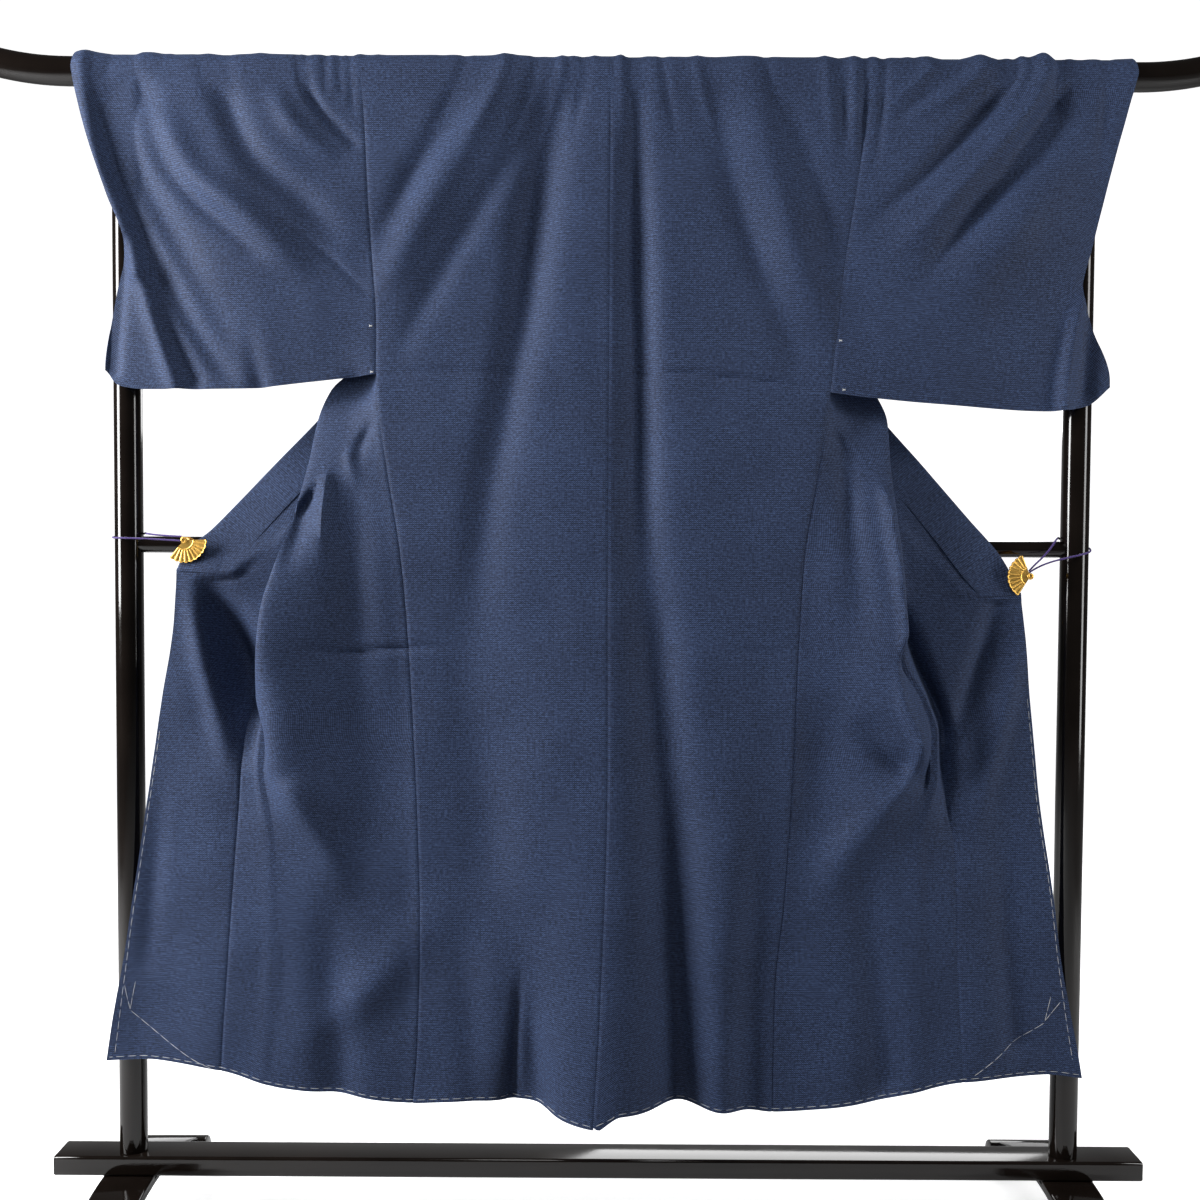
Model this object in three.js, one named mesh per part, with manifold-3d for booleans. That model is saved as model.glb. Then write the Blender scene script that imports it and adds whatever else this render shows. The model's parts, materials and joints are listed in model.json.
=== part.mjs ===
// A men's kimono hung on a free-standing kimono stand, its fronts spread sideways and clipped to the uprights.
// Millimetres, +Z up, origin on the floor under the middle of the stand. The back of the garment faces -Y.
import * as THREE from 'three';
import { mergeVertices } from 'three/addons/utils/BufferGeometryUtils.js';
import Module from 'manifold-3d';

const wasm = await Module();
wasm.setup();

// ---- driving dimensions -------------------------------------------------------------------------------------

const CLOTH = 1.6; // thickness of a wall of cloth
const COLLAR_CLOTH = 1.2;
const COLLAR_ROOM = 2.9; // from the cloth's mid-surface to each layer of the folded collar
const COLLAR_ENTRY = 14; // width over which the cloth settles into the collar's surface
const COLLAR_TAKES_Z = 1523; // below this the cloth beyond the tuck lies wholly in the collar's surface
const COLLAR_MARGIN = 18; // and how far from the collar's sewn edge it has done so
const SEAM_GAP = 0.6;
const SEAM_TUCK = 1; // the front starts this far inside the back's edge, just behind it

const RAIL_RADIUS = 19;
const RAIL_Z = 1573;
const RAIL_STRAIGHT = 716; // half-length of the straight stretch
const RAIL_TIP = 872; // the rail's bent ends stop here
const RAIL_BEND = 420; // radius of the upward bend
const RAIL_TIP_ANGLE = Math.asin((RAIL_TIP - RAIL_STRAIGHT) / RAIL_BEND);
const CLOTH_OVER_RAIL = 20.6; // radius of the cloth's mid-surface over the rail

const CAP = { rim: 3, dome: 7, steps: 5 };

const UPRIGHT_X = 642;
const UPRIGHT_RADIUS = 18.5;
const CROSSBAR_Z = 940;
const CROSSBAR_RADIUS = 11;
const BASE = { halfLength: 744, depth: 50, bottom: 78, top: 105, corner: 6, bevel: 3 };
const FOOT = { width: 70, thick: 14, endZ: 34, barLength: 96, barRadius: 22.5, barZ: 20.5, barY: 168 };
const FOOT_SEAT = { length: 40, height: 8 }; // the flat block under the base rail

// Shares of the front between which it turns back on itself, and the turn's radius. It opens below the shoulder.
const TUCK = { from: 0.66, to: 0.76, radius: 2.8, flat: 8, opens: 6, overlap: 40 };

const HEM_Z = 190;
const SHOULDER_Z = 1536; // the shoulder line hangs on the far side of the rail
const ARMPIT_Z = 1240;
const SLEEVE_OPEN_Z = 1340; // bottom of the cuff opening
const KENSAKI_Z = 1310; // the point where the overlap panel runs out under the collar

// ---- small helpers ------------------------------------------------------------------------------------------

const lerp = (a, b, t) => a + (b - a) * t;
const clamp01 = (t) => Math.min(1, Math.max(0, t));
const smooth = (t) => clamp01(t) ** 2 * (3 - 2 * clamp01(t));

// Value of the smooth curve through rows of [key, value], keys in falling or rising order.
function along(rows, key) {
  const rising = rows[0][0] < rows[rows.length - 1][0];
  const sorted = rising ? rows : [...rows].reverse();
  const last = sorted.length - 1;
  if (key <= sorted[0][0]) return sorted[0][1];
  if (key >= sorted[last][0]) return sorted[last][1];
  let i = 0;
  while (key > sorted[i + 1][0]) i += 1;
  const slope = (j) => {
    if (j === 0 || j === last) return 0;
    const before = (sorted[j][1] - sorted[j - 1][1]) / (sorted[j][0] - sorted[j - 1][0]);
    const after = (sorted[j + 1][1] - sorted[j][1]) / (sorted[j + 1][0] - sorted[j][0]);
    return before * after <= 0 ? 0 : (2 * before * after) / (before + after);
  };
  const span = sorted[i + 1][0] - sorted[i][0];
  const t = (key - sorted[i][0]) / span;
  const rise = sorted[i + 1][1] - sorted[i][1];
  const start = i === 0 ? rise / span : slope(i);
  const end = i + 1 === last ? rise / span : slope(i + 1);
  const cubic = (start + end) * span - 2 * rise;
  return sorted[i][1] + start * span * t + (3 * rise - (2 * start + end) * span) * t ** 2 + cubic * t ** 3;
}

// One column of a table of named rows, as pairs that along() reads.
const column = (table, key, name) => table.map((row) => [row[key], row[name]]);

// Point on the smooth curve through a list of [x, y] stations, at t from 0 to 1 over the stations.
function through(stations, t) {
  const last = stations.length - 1;
  const i = Math.min(last - 1, Math.floor(t * last));
  const f = t * last - i;
  const at = (j) => stations[Math.min(last, Math.max(0, j))];
  return [0, 1].map((k) => {
    const [a, b, c, d] = [at(i - 1)[k], at(i)[k], at(i + 1)[k], at(i + 2)[k]];
    return b + 0.5 * f * (c - a + f * (2 * a - 5 * b + 4 * c - d + f * (3 * (b - c) + d - a)));
  });
}

// A soft trough or ridge: its centre line and depth follow the height, its section is a bell.
function foldDepth(folds, x, z) {
  let depth = 0;
  for (const fold of folds) {
    const centre = along(fold.line, z);
    depth += along(fold.depth, z) * Math.exp(-(((x - centre) / fold.width) ** 2));
  }
  return depth;
}

// ---- tables of the garment: x outwards from the middle, y away from its back, z up ---------------------------

// Edge of the back at the armhole and side seam, and how far it stands from the middle plane.
const SIDE = {
  left: [[1592, 328], [1542, 321], [1371, 311], [1240, 301], [1150, 300], [1040, 285], [921, 266], [806, 256],
    [555, 243], [427, 240], [264, 244], [HEM_Z, 250]],
  right: [[1592, 362], [1517, 350], [1400, 333], [1290, 317], [1240, 311], [1150, 302], [1029, 284], [924, 268],
    [751, 259], [635, 255], [470, 246], [334, 234], [HEM_Z, 233]],
};
const SIDE_Y = [[1540, -21], [1400, -25], [1240, -30], [921, -42], [555, -46], [HEM_Z, -45]];
const CENTRE_X = [[1580, 8.5], [923, 8.3], [633, 9.5], [348, 1.8], [HEM_Z, -7]];
const CENTRE_Y = [[1540, -21], [1275, -34], [923, -50], [633, -66], [348, -86], [HEM_Z, -98]];

// Free edge of the collar and its sewn edge, from the back of the neck to its end at the front edge.
const COLLAR = {
  left: [
    { freeX: 0, freeZ: 1584, sewnX: 0, sewnZ: 1538 },
    { freeX: 40, freeZ: 1582, sewnX: 28, sewnZ: 1537 },
    { freeX: 72, freeZ: 1566, sewnX: 43, sewnZ: 1519 },
    { freeX: 98, freeZ: 1532, sewnX: 54, sewnZ: 1500 },
    { freeX: 122, freeZ: 1496, sewnX: 75, sewnZ: 1467 },
    { freeX: 165, freeZ: 1425, sewnX: 119, sewnZ: 1395 },
    { freeX: 228, freeZ: 1330, sewnX: 183, sewnZ: 1298 },
    { freeX: 305, freeZ: 1225, sewnX: 262, sewnZ: 1191 },
    { freeX: 383, freeZ: 1128, sewnX: 341, sewnZ: 1093 },
    { freeX: 452, freeZ: 1048, sewnX: 410, sewnZ: 1013 },
    { freeX: 529, freeZ: 957, sewnX: 483, sewnZ: 927 },
    { freeX: 556, freeZ: 934, sewnX: 504, sewnZ: 913 },
    { freeX: 568, freeZ: 905, sewnX: 514, sewnZ: 902 },
  ],
  right: [
    { freeX: 0, freeZ: 1584, sewnX: 0, sewnZ: 1538 },
    { freeX: 40, freeZ: 1582, sewnX: 28, sewnZ: 1537 },
    { freeX: 72, freeZ: 1566, sewnX: 43, sewnZ: 1519 },
    { freeX: 98, freeZ: 1532, sewnX: 54, sewnZ: 1500 },
    { freeX: 124, freeZ: 1496, sewnX: 77, sewnZ: 1467 },
    { freeX: 172, freeZ: 1425, sewnX: 126, sewnZ: 1395 },
    { freeX: 238, freeZ: 1330, sewnX: 193, sewnZ: 1298 },
    { freeX: 312, freeZ: 1225, sewnX: 269, sewnZ: 1191 },
    { freeX: 387, freeZ: 1121, sewnX: 344, sewnZ: 1087 },
    { freeX: 440, freeZ: 1055, sewnX: 397, sewnZ: 1021 },
    { freeX: 493, freeZ: 983, sewnX: 448, sewnZ: 951 },
    { freeX: 538, freeZ: 926, sewnX: 488, sewnZ: 897 },
    { freeX: 561, freeZ: 879, sewnX: 507, sewnZ: 876 },
  ],
};
const COLLAR_END_Z = { left: 899, right: 873 };

// How far the collar and the strip of cloth inside it stand from the middle plane.
const COLLAR_Y = {
  left: [[1584, 38], [1530, 27.2], [1500, 33.4], [1425, 48], [1330, 57], [1225, 60], [1175, 57.5], [1128, 49],
    [1088, 37.5], [1048, 24], [1010, 7], [980, -6], [955, -15], [930, -22], [903, -30]],
  right: [[1584, 38], [1530, 27.2], [1500, 33.4], [1425, 48], [1330, 57], [1225, 60], [1175, 57.5], [1121, 48],
    [1088, 38.5], [1055, 28], [1010, 8], [980, -6], [955, -15], [930, -20.5], [900, -26], [877, -30]],
};

// Front edge below the collar.
const FRONT_EDGE = {
  left: [[903, 568], [843, 571], [729, 589], [592, 610], [433, 635], [HEM_Z, 669]],
  right: [[877, 561], [809, 568], [694, 580], [597, 591], [479, 611], [385, 624], [HEM_Z, 657]],
};
const FRONT_EDGE_Y = [[903, -30], [592, -30], [433, -28], [HEM_Z, -25]];

// Armhole edge of the front and the side seam below it: how far it stands from the middle plane.
const FRONT_SIDE_Y = [[1530, 22], [1425, 28], [1330, 22], [1275, 0], [1250, -16], [ARMPIT_Z, -24], [1190, -26],
  [1150, -30], [921, -39.2], [555, -43.2], [HEM_Z, -42.2]];

// Hang of each front between the side seam and the overlap seam: a valley, the big ridge, the tuck behind it
// and the overlap seam (o). Above KENSAKI_Z the overlap seam has run into the collar.
const HANG = {
  left: [
    { z: 1536, ax: 240, ay: 22, rx: 160, ry: 22, tx: 28, ty: 22, ox: 1, oy: 22 },
    { z: 1530, ax: 240, ay: 22, rx: 160, ry: 22, tx: 28, ty: 16.5, ox: 29.5, oy: 27.2 },
    { z: 1523, ax: 241, ay: 22, rx: 160, ry: 22, tx: 26, ty: 19.5, ox: 44, oy: 27 },
    { z: 1516, ax: 242, ay: 23, rx: 160, ry: 23, tx: 25, ty: 21, ox: 62, oy: 30 },
    { z: 1500, ax: 245, ay: 25, rx: 165, ry: 26, tx: 30, ty: 26.5, ox: 96, oy: 33.4 },
    { z: 1462, ax: 247, ay: 27, rx: 172, ry: 28, tx: 54, ty: 36, ox: 130, oy: 42 },
    { z: 1425, ax: 250, ay: 28, rx: 180, ry: 30, tx: 76, ty: 40, ox: 158, oy: 48 },
    { z: 1330, ax: 255, ay: 30, rx: 195, ry: 35, tx: 122, ty: 46, ox: 220, oy: 57 },
    { z: 1290, ax: 266, ay: 24, rx: 205, ry: 36, tx: 136, ty: 49, ox: 240, oy: 59 },
    { z: 1240, ax: 286, ay: 10, rx: 240, ry: 34, tx: 154, ty: 52, ox: 262, oy: 60 },
    { z: 1190, ax: 300, ay: -2, rx: 318, ry: 22, tx: 188, ty: 50, ox: 286, oy: 56 },
    { z: 1150, ax: 318, ay: -6, rx: 366, ry: 12, tx: 222, ty: 48, ox: 306, oy: 53 },
    { z: 1110, ax: 336, ay: -16, rx: 380, ry: -2, tx: 248, ty: 44, ox: 324, oy: 46 },
    { z: 1048, ax: 338, ay: -32, rx: 392, ry: -20, tx: 290, ty: 30, ox: 362, oy: 29 },
    { z: 996, ax: 338, ay: -40, rx: 404, ry: -38, tx: 324, ty: 2, ox: 390, oy: 1 },
    { z: 955, ax: 335, ay: -47, rx: 415, ry: -55, tx: 354, ty: -17, ox: 412, oy: -18 },
    { z: 914, ax: 330, ay: -52, rx: 427, ry: -68, tx: 380, ty: -18, ox: 430, oy: -21 },
    { z: 855, ax: 328, ay: -52, rx: 442, ry: -78, tx: 403, ty: -18, ox: 447, oy: -20 },
    { z: 800, ax: 325, ay: -50, rx: 447, ry: -82, tx: 418, ty: -20, ox: 458, oy: -19 },
    { z: 742, ax: 322, ay: -48, rx: 450, ry: -80, tx: 436, ty: -26, ox: 472, oy: -23 },
    { z: 690, ax: 318, ay: -46, rx: 432, ry: -74, tx: 446, ty: -38, ox: 479, oy: -31 },
    { z: 640, ax: 312, ay: -44, rx: 418, ry: -68, tx: 449, ty: -43, ox: 482, oy: -34 },
    { z: 590, ax: 308, ay: -43, rx: 392, ry: -60, tx: 441, ty: -44, ox: 485, oy: -36 },
    { z: 535, ax: 304, ay: -43, rx: 368, ry: -52, tx: 433, ty: -44, ox: 489, oy: -37 },
    { z: 400, ax: 302, ay: -45, rx: 364, ry: -47, tx: 431, ty: -44, ox: 498, oy: -39 },
    { z: HEM_Z, ax: 310, ay: -47, rx: 374, ry: -49, tx: 442, ty: -46, ox: 509, oy: -41 },
  ],
  right: [
    { z: 1536, ax: 248, ay: 22, rx: 166, ry: 22, tx: 28, ty: 22, ox: 1, oy: 22 },
    { z: 1530, ax: 248, ay: 22, rx: 166, ry: 22, tx: 28, ty: 16.5, ox: 29.5, oy: 27.2 },
    { z: 1523, ax: 249, ay: 22, rx: 166, ry: 22, tx: 26, ty: 19.5, ox: 44, oy: 27 },
    { z: 1516, ax: 249, ay: 23, rx: 166, ry: 23, tx: 25, ty: 21, ox: 62, oy: 30 },
    { z: 1500, ax: 250, ay: 25, rx: 168, ry: 26, tx: 30, ty: 26.5, ox: 97, oy: 33.4 },
    { z: 1462, ax: 252, ay: 27, rx: 176, ry: 28, tx: 56, ty: 36, ox: 134, oy: 42 },
    { z: 1425, ax: 255, ay: 28, rx: 184, ry: 30, tx: 80, ty: 40, ox: 164, oy: 48 },
    { z: 1330, ax: 260, ay: 30, rx: 200, ry: 35, tx: 128, ty: 46, ox: 230, oy: 57 },
    { z: 1290, ax: 270, ay: 24, rx: 210, ry: 36, tx: 142, ty: 49, ox: 250, oy: 59 },
    { z: 1240, ax: 290, ay: 10, rx: 245, ry: 34, tx: 160, ty: 52, ox: 272, oy: 60 },
    { z: 1190, ax: 300, ay: -1, rx: 318, ry: 22, tx: 194, ty: 50, ox: 294, oy: 56 },
    { z: 1150, ax: 312, ay: -4, rx: 368, ry: 12, tx: 226, ty: 48, ox: 312, oy: 53 },
    { z: 1110, ax: 330, ay: -12, rx: 382, ry: -2, tx: 248, ty: 45, ox: 328, oy: 48 },
    { z: 1055, ax: 336, ay: -30, rx: 384, ry: -20, tx: 286, ty: 33, ox: 350, oy: 32 },
    { z: 1000, ax: 334, ay: -38, rx: 388, ry: -38, tx: 312, ty: 4, ox: 374, oy: 3 },
    { z: 955, ax: 330, ay: -46, rx: 391, ry: -50, tx: 336, ty: -16, ox: 386, oy: -17 },
    { z: 900, ax: 322, ay: -50, rx: 394, ry: -62, tx: 364, ty: -19, ox: 400, oy: -22 },
    { z: 832, ax: 318, ay: -48, rx: 398, ry: -70, tx: 380, ty: -26, ox: 419, oy: -27 },
    { z: 786, ax: 315, ay: -45, rx: 384, ry: -66, tx: 398, ty: -34, ox: 436, oy: -27 },
    { z: 740, ax: 312, ay: -42, rx: 392, ry: -67, tx: 425, ty: -42, ox: 454, oy: -29 },
    { z: 690, ax: 306, ay: -38, rx: 414, ry: -68, tx: 440, ty: -44, ox: 467, oy: -31 },
    { z: 640, ax: 302, ay: -36, rx: 406, ry: -63, tx: 440, ty: -45, ox: 463, oy: -34 },
    { z: 595, ax: 300, ay: -38, rx: 374, ry: -55, tx: 430, ty: -45, ox: 466, oy: -36 },
    { z: 540, ax: 300, ay: -42, rx: 352, ry: -49, tx: 416, ty: -45, ox: 475, oy: -37 },
    { z: 400, ax: 298, ay: -45, rx: 350, ry: -47, tx: 416, ty: -44, ox: 480, oy: -39 },
    { z: HEM_Z, ax: 298, ay: -47, rx: 357, ry: -49, tx: 424, ty: -46, ox: 491, oy: -41 },
  ],
};

// How far the hem lies above HEM_Z, against x, and the height at which that lift has died out.
const HEM_LIFT = {
  left: [[0, -11], [45, -5], [100, 4], [190, 4], [250, 1], [360, 14], [439, 24], [509, 42], [610, 52], [669, 49]],
  right: [[0, -11], [30, 5], [72, 5], [124, 2], [233, -8], [377, 9], [490, 32], [606, 37], [657, 32]],
};
const LIFT_REACH = 240;

// Largest folds of the back and of each sleeve's near layer: their width, centre line and depth towards +Y.
const BACK_FOLDS = {
  left: [
    { width: 34, line: [[1540, -66], [1190, -112]], depth: [[1560, 0], [1500, 5], [1300, 4], [1150, 0]] },
    { width: 42, line: [[420, -88], [HEM_Z, -104]], depth: [[480, 0], [300, 16], [HEM_Z, 38]] },
  ],
  right: [
    { width: 34, line: [[1400, 32], [1134, 38], [870, 62], [600, 86], [HEM_Z, 108]],
      depth: [[1500, 0], [1350, 7], [1134, 11], [870, 17], [600, 26], [HEM_Z, 36]] },
  ],
};
const SLEEVE = {
  left: {
    outer: [[1592, 709], [1532, 697], [1401, 655], [SLEEVE_OPEN_Z, 634], [1271, 648], [1175, 663], [1140, 664]],
    bottom: [[0, 1168], [0.25, 1157], [0.5, 1148], [0.86, 1147], [0.94, 1151], [1, 1172]],
    farOuter: [[1592, 708], [1530, 692], [1490, 652], [1455, 619], [1400, 612], [1368, 614],
      [SLEEVE_OPEN_Z, 634], [1271, 648], [1175, 663], [1140, 664]],
    folds: [
      { width: 17, line: [[1570, 694], [1541, 684], [1400, 634], [1272, 571], [1146, 489]],
        depth: [[1570, 0], [1500, 8], [1300, 11], [1180, 6], [1146, 0]] },
      { width: 20, line: [[1570, 622], [1440, 574], [1328, 462]],
        depth: [[1570, 0], [1530, 7], [1400, 9], [1300, 0]] },
    ],
  },
  right: {
    outer: [[1592, 712], [1442, 672], [1334, 646], [1288, 636], [1231, 652], [1164, 674], [1130, 674]],
    bottom: [[0, 1147], [0.16, 1140], [0.45, 1131], [0.8, 1124], [0.92, 1131], [1, 1156]],
    farOuter: [[1592, 711], [1530, 692], [1490, 652], [1455, 619], [1400, 612], [1340, 614], [1288, 636],
      [1231, 652], [1164, 674], [1130, 674]],
    folds: [
      { width: 17, line: [[1580, 640], [1480, 588], [1395, 508], [1330, 450]],
        depth: [[1575, 0], [1500, 9], [1400, 10], [1310, 0]] },
      { width: 18, line: [[1585, 560], [1520, 506], [1400, 404]],
        depth: [[1570, 0], [1510, 7], [1380, 0]] },
    ],
  },
};

// ---- surfaces of the garment --------------------------------------------------------------------------------

const SIGN = { left: -1, right: 1 };

// Lift of the hem at x, full at the hem and gone LIFT_REACH above it.
function lifted(side, x, z) {
  return z + along(HEM_LIFT[side], x) * smooth((HEM_Z + LIFT_REACH - z) / LIFT_REACH);
}

// A point of the back at the share u from the centre seam to the side, at height z below the rail's middle.
function backPoint(side, u, z) {
  const centre = along(CENTRE_X, z) + (SIGN[side] * SEAM_GAP) / 2;
  const edge = SIGN[side] * along(SIDE[side], z);
  const x = lerp(centre, edge, u);
  const hang = lerp(along(CENTRE_Y, z), along(SIDE_Y, z), smooth(u ** 0.8));
  const calm = smooth((1 - u) * 6);
  const y = hang + foldDepth(BACK_FOLDS[side], x, z) * calm;
  return new THREE.Vector3(x, y, lifted(side, Math.abs(x), z));
}

// A point over the rail: turn runs from 0, level with its middle on the near side, to 1 on the far side.
function overRail(x, turn) {
  const angle = Math.PI * (1 - turn);
  return new THREE.Vector3(x, CLOTH_OVER_RAIL * Math.cos(angle), RAIL_Z + CLOTH_OVER_RAIL * Math.sin(angle));
}

const collarX = (side, z, edge) => along(column(COLLAR[side], `${edge}Z`, `${edge}X`), z);

// Outer edge of the front sheet: just inside the collar's free edge, and the front edge below the collar.
function frontEdge(side, z) {
  if (z < COLLAR_END_Z[side]) return [along(FRONT_EDGE[side], z), along(FRONT_EDGE_Y, z)];
  return [collarX(side, z, 'free') - 5, along(COLLAR_Y[side], z)];
}

// Section of the front at height z, as [x, y] at the share t: from the side seam over the valley and the ridge to
// the tuck, round the tuck in half a turn, and straight on to the overlap seam.
function frontSection(side, t, z) {
  const row = (name) => along(column(HANG[side], 'z', name), z);
  const edgeX = along(SIDE[side], z) - SEAM_TUCK * smooth((1300 - z) / 30);
  const tuck = [row('tx'), row('ty')];
  const hang = [[edgeX, along(FRONT_SIDE_Y, z)], [row('ax'), row('ay')], [row('rx'), row('ry')], tuck];
  if (t <= TUCK.from) return through(hang, t / TUCK.from);
  const turned = smooth((SHOULDER_Z - z) / TUCK.opens) * smooth((row('rx') - row('tx')) / TUCK.overlap - 0.5);
  const share = Math.min(1, (t - TUCK.from) / (TUCK.to - TUCK.from));
  const sweep = Math.sin(Math.PI * share) * smooth((SHOULDER_Z - z) / TUCK.opens - 1);
  const onward = Math.sign(row('ox') - tuck[0]) * TUCK.flat * share;
  const x = tuck[0] + lerp(onward, -TUCK.radius * sweep, turned);
  const y = tuck[1] + TUCK.radius * (1 - Math.cos(Math.PI * share)) * turned;
  const past = clamp01((t - TUCK.to) / (1 - TUCK.to));
  return [lerp(x, row('ox'), past), lerp(y, row('oy'), past)];
}

// Cloth inside the collar lies in the collar's own surface.
function intoCollar(side, x, y, z) {
  if (z < COLLAR_END_Z[side]) return y;
  const inside = smooth((x - collarX(side, z, 'sewn') + COLLAR_ENTRY + COLLAR_MARGIN) / COLLAR_ENTRY);
  return lerp(y, along(COLLAR_Y[side], z), inside);
}

// A point of the front at the share t from the side seam to the overlap seam.
function frontPoint(side, t, z) {
  const [x, y] = frontSection(side, t, z);
  if (t <= TUCK.to || z >= SHOULDER_Z) return new THREE.Vector3(SIGN[side] * x, y, lifted(side, x, z));
  const onEdge = smooth((z - COLLAR_TAKES_Z) / (SHOULDER_Z - TUCK.opens - COLLAR_TAKES_Z));
  const hold = lerp(1, (t - TUCK.to) / (1 - TUCK.to), onEdge);
  return new THREE.Vector3(SIGN[side] * x, lerp(y, intoCollar(side, x, y, z), hold), lifted(side, x, z));
}

// A point of the overlap panel at the share t from its seam to the front edge.
function okumiPoint(side, t, z) {
  const row = (name) => along(column(HANG[side], 'z', name), z);
  const [edgeX, edgeY] = frontEdge(side, z);
  const x = lerp(row('ox') + SEAM_GAP, edgeX, t);
  const y = intoCollar(side, x, lerp(row('oy'), edgeY, smooth(t * 1.3)), z);
  return new THREE.Vector3(SIGN[side] * x, y, lifted(side, x, z));
}

// ---- solids -------------------------------------------------------------------------------------------------

// Direction of a line of points at b, between its neighbours a and c; at an end a or c is b itself.
function direction(a, b, c) {
  const before = b.clone().sub(a).normalize();
  return c.clone().sub(b).normalize().add(before);
}

// Normal of a grid of points at row i, column j.
function gridNormal(grid, i, j, closed) {
  const rows = grid.length;
  const columns = grid[0].length;
  const wrap = (k) => (closed ? (k + columns) % columns : Math.min(columns - 1, Math.max(0, k)));
  const here = grid[i][j];
  const down = direction(grid[Math.max(0, i - 1)][j], here, grid[Math.min(rows - 1, i + 1)][j]);
  const across = direction(grid[i][wrap(j - 1)], here, grid[i][wrap(j + 1)]);
  return down.cross(across).normalize();
}

// A wall of the given thickness about a grid of points, closed round its columns where closed is true.
function wall(grid, thickness, closed = false) {
  const rows = grid.length;
  const columns = grid[0].length;
  const positions = [];
  for (const half of [thickness / 2, -thickness / 2]) {
    grid.forEach((row, i) => row.forEach((point, j) => {
      const moved = point.clone().addScaledVector(gridNormal(grid, i, j, closed), half);
      positions.push(moved.x, moved.y, moved.z);
    }));
  }
  const at = (layer, i, j) => layer * rows * columns + i * columns + (j % columns);
  const faces = [];
  const quad = (a, b, c, d) => faces.push(a, b, c, a, c, d);
  const spans = closed ? columns : columns - 1;
  for (let i = 0; i < rows - 1; i += 1) {
    for (let j = 0; j < spans; j += 1) {
      quad(at(0, i, j), at(0, i + 1, j), at(0, i + 1, j + 1), at(0, i, j + 1));
      quad(at(1, i, j), at(1, i, j + 1), at(1, i + 1, j + 1), at(1, i + 1, j));
    }
  }
  for (let j = 0; j < spans; j += 1) {
    quad(at(0, 0, j), at(0, 0, j + 1), at(1, 0, j + 1), at(1, 0, j));
    quad(at(0, rows - 1, j), at(1, rows - 1, j), at(1, rows - 1, j + 1), at(0, rows - 1, j + 1));
  }
  if (!closed) {
    for (let i = 0; i < rows - 1; i += 1) {
      const end = columns - 1;
      quad(at(0, i, 0), at(1, i, 0), at(1, i + 1, 0), at(0, i + 1, 0));
      quad(at(0, i, end), at(0, i + 1, end), at(1, i + 1, end), at(1, i, end));
    }
  }
  return outward(positions, faces);
}

// Geometry of a closed mesh, turned so that its faces point out.
function outward(positions, faces) {
  let volume = 0;
  const corner = (k) => new THREE.Vector3(...positions.slice(3 * k, 3 * k + 3));
  for (let f = 0; f < faces.length; f += 3) {
    volume += corner(faces[f]).dot(corner(faces[f + 1]).cross(corner(faces[f + 2])));
  }
  const turned = volume > 0 ? faces : [...faces].reverse();
  const geometry = new THREE.BufferGeometry();
  geometry.setAttribute('position', new THREE.Float32BufferAttribute(positions, 3));
  geometry.setIndex(turned);
  return geometry;
}

const CLOTH_LOOK = { color: 0x2f3d63, roughness: 0.8, metalness: 0 };
const LACQUER_LOOK = { color: 0x0c0a0b, roughness: 0.15, metalness: 0 };
const GOLD_LOOK = { color: 0xc8922f, roughness: 0.35, metalness: 1 };
const CORD_LOOK = { color: 0x43257a, roughness: 0.7, metalness: 0 };

const kimono = new THREE.Group();
kimono.name = 'kimono';

function add(name, geometry, look, place) {
  const mesh = new THREE.Mesh(geometry, new THREE.MeshStandardMaterial(look));
  mesh.name = name;
  if (place) mesh.position.set(...place);
  kimono.add(mesh);
  return mesh;
}

const spread = (count, f) => Array.from({ length: count + 1 }, (_, i) => f(i / count));

// Heights of the rows of the back and of the front, and the shares of their columns; closer where the cloth turns.
const ARMHOLE_ROWS = [ARMPIT_Z, 1280, 1320, 1375, 1430, 1485, 1540];
const BACK_ROWS = [HEM_Z, 250, 340, 460, 600, 740, 870, 1000, 1120, ...ARMHOLE_ROWS];
const FRONT_ROWS = [SHOULDER_Z, 1530, 1523, 1515, 1500, 1462, 1425, 1380, 1330, 1290, 1262, ARMPIT_Z, 1215, 1190, 1168,
  1140, 1110, 1080, 1048, 1020, 996, 974, 955, 930, 905, 870, 830, 786, 740, 690, 640, 590, 535, 400, HEM_Z];
const OVER_RAIL = 6; // steps of the cloth over the rail
const FRONT_SHARES = [1, 0.92, 0.84, 0.76, 0.71, 0.66, 0.55, 0.49, 0.44, 0.39, 0.3, 0.15, 0]; // closer at the folds
const OKUMI_COLUMNS = 3;
const SIDES = ['left', 'right'];

function body(side) {
  const back = BACK_ROWS.map((z) => FRONT_SHARES.map((t) => backPoint(side, 1 - t, z)));
  const front = FRONT_ROWS.map((z) => FRONT_SHARES.map((t) => frontPoint(side, t, z)));
  const near = FRONT_SHARES.map((t) => backPoint(side, 1 - t, RAIL_Z).x);
  const far = front[0].map((point) => point.x);
  const over = spread(OVER_RAIL, (turn) => near.map((x, j) => overRail(lerp(x, far[j], turn), turn)));
  return wall([...back, ...over, ...front], CLOTH);
}

function okumi(side) {
  const heights = FRONT_ROWS.filter((z) => z < KENSAKI_Z);
  const end = COLLAR_END_Z[side];
  const rows = [...heights, end + 1, end - 1].sort((a, b) => b - a);
  return wall(rows.map((z) => spread(OKUMI_COLUMNS, (t) => okumiPoint(side, t, z))), CLOTH);
}

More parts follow.
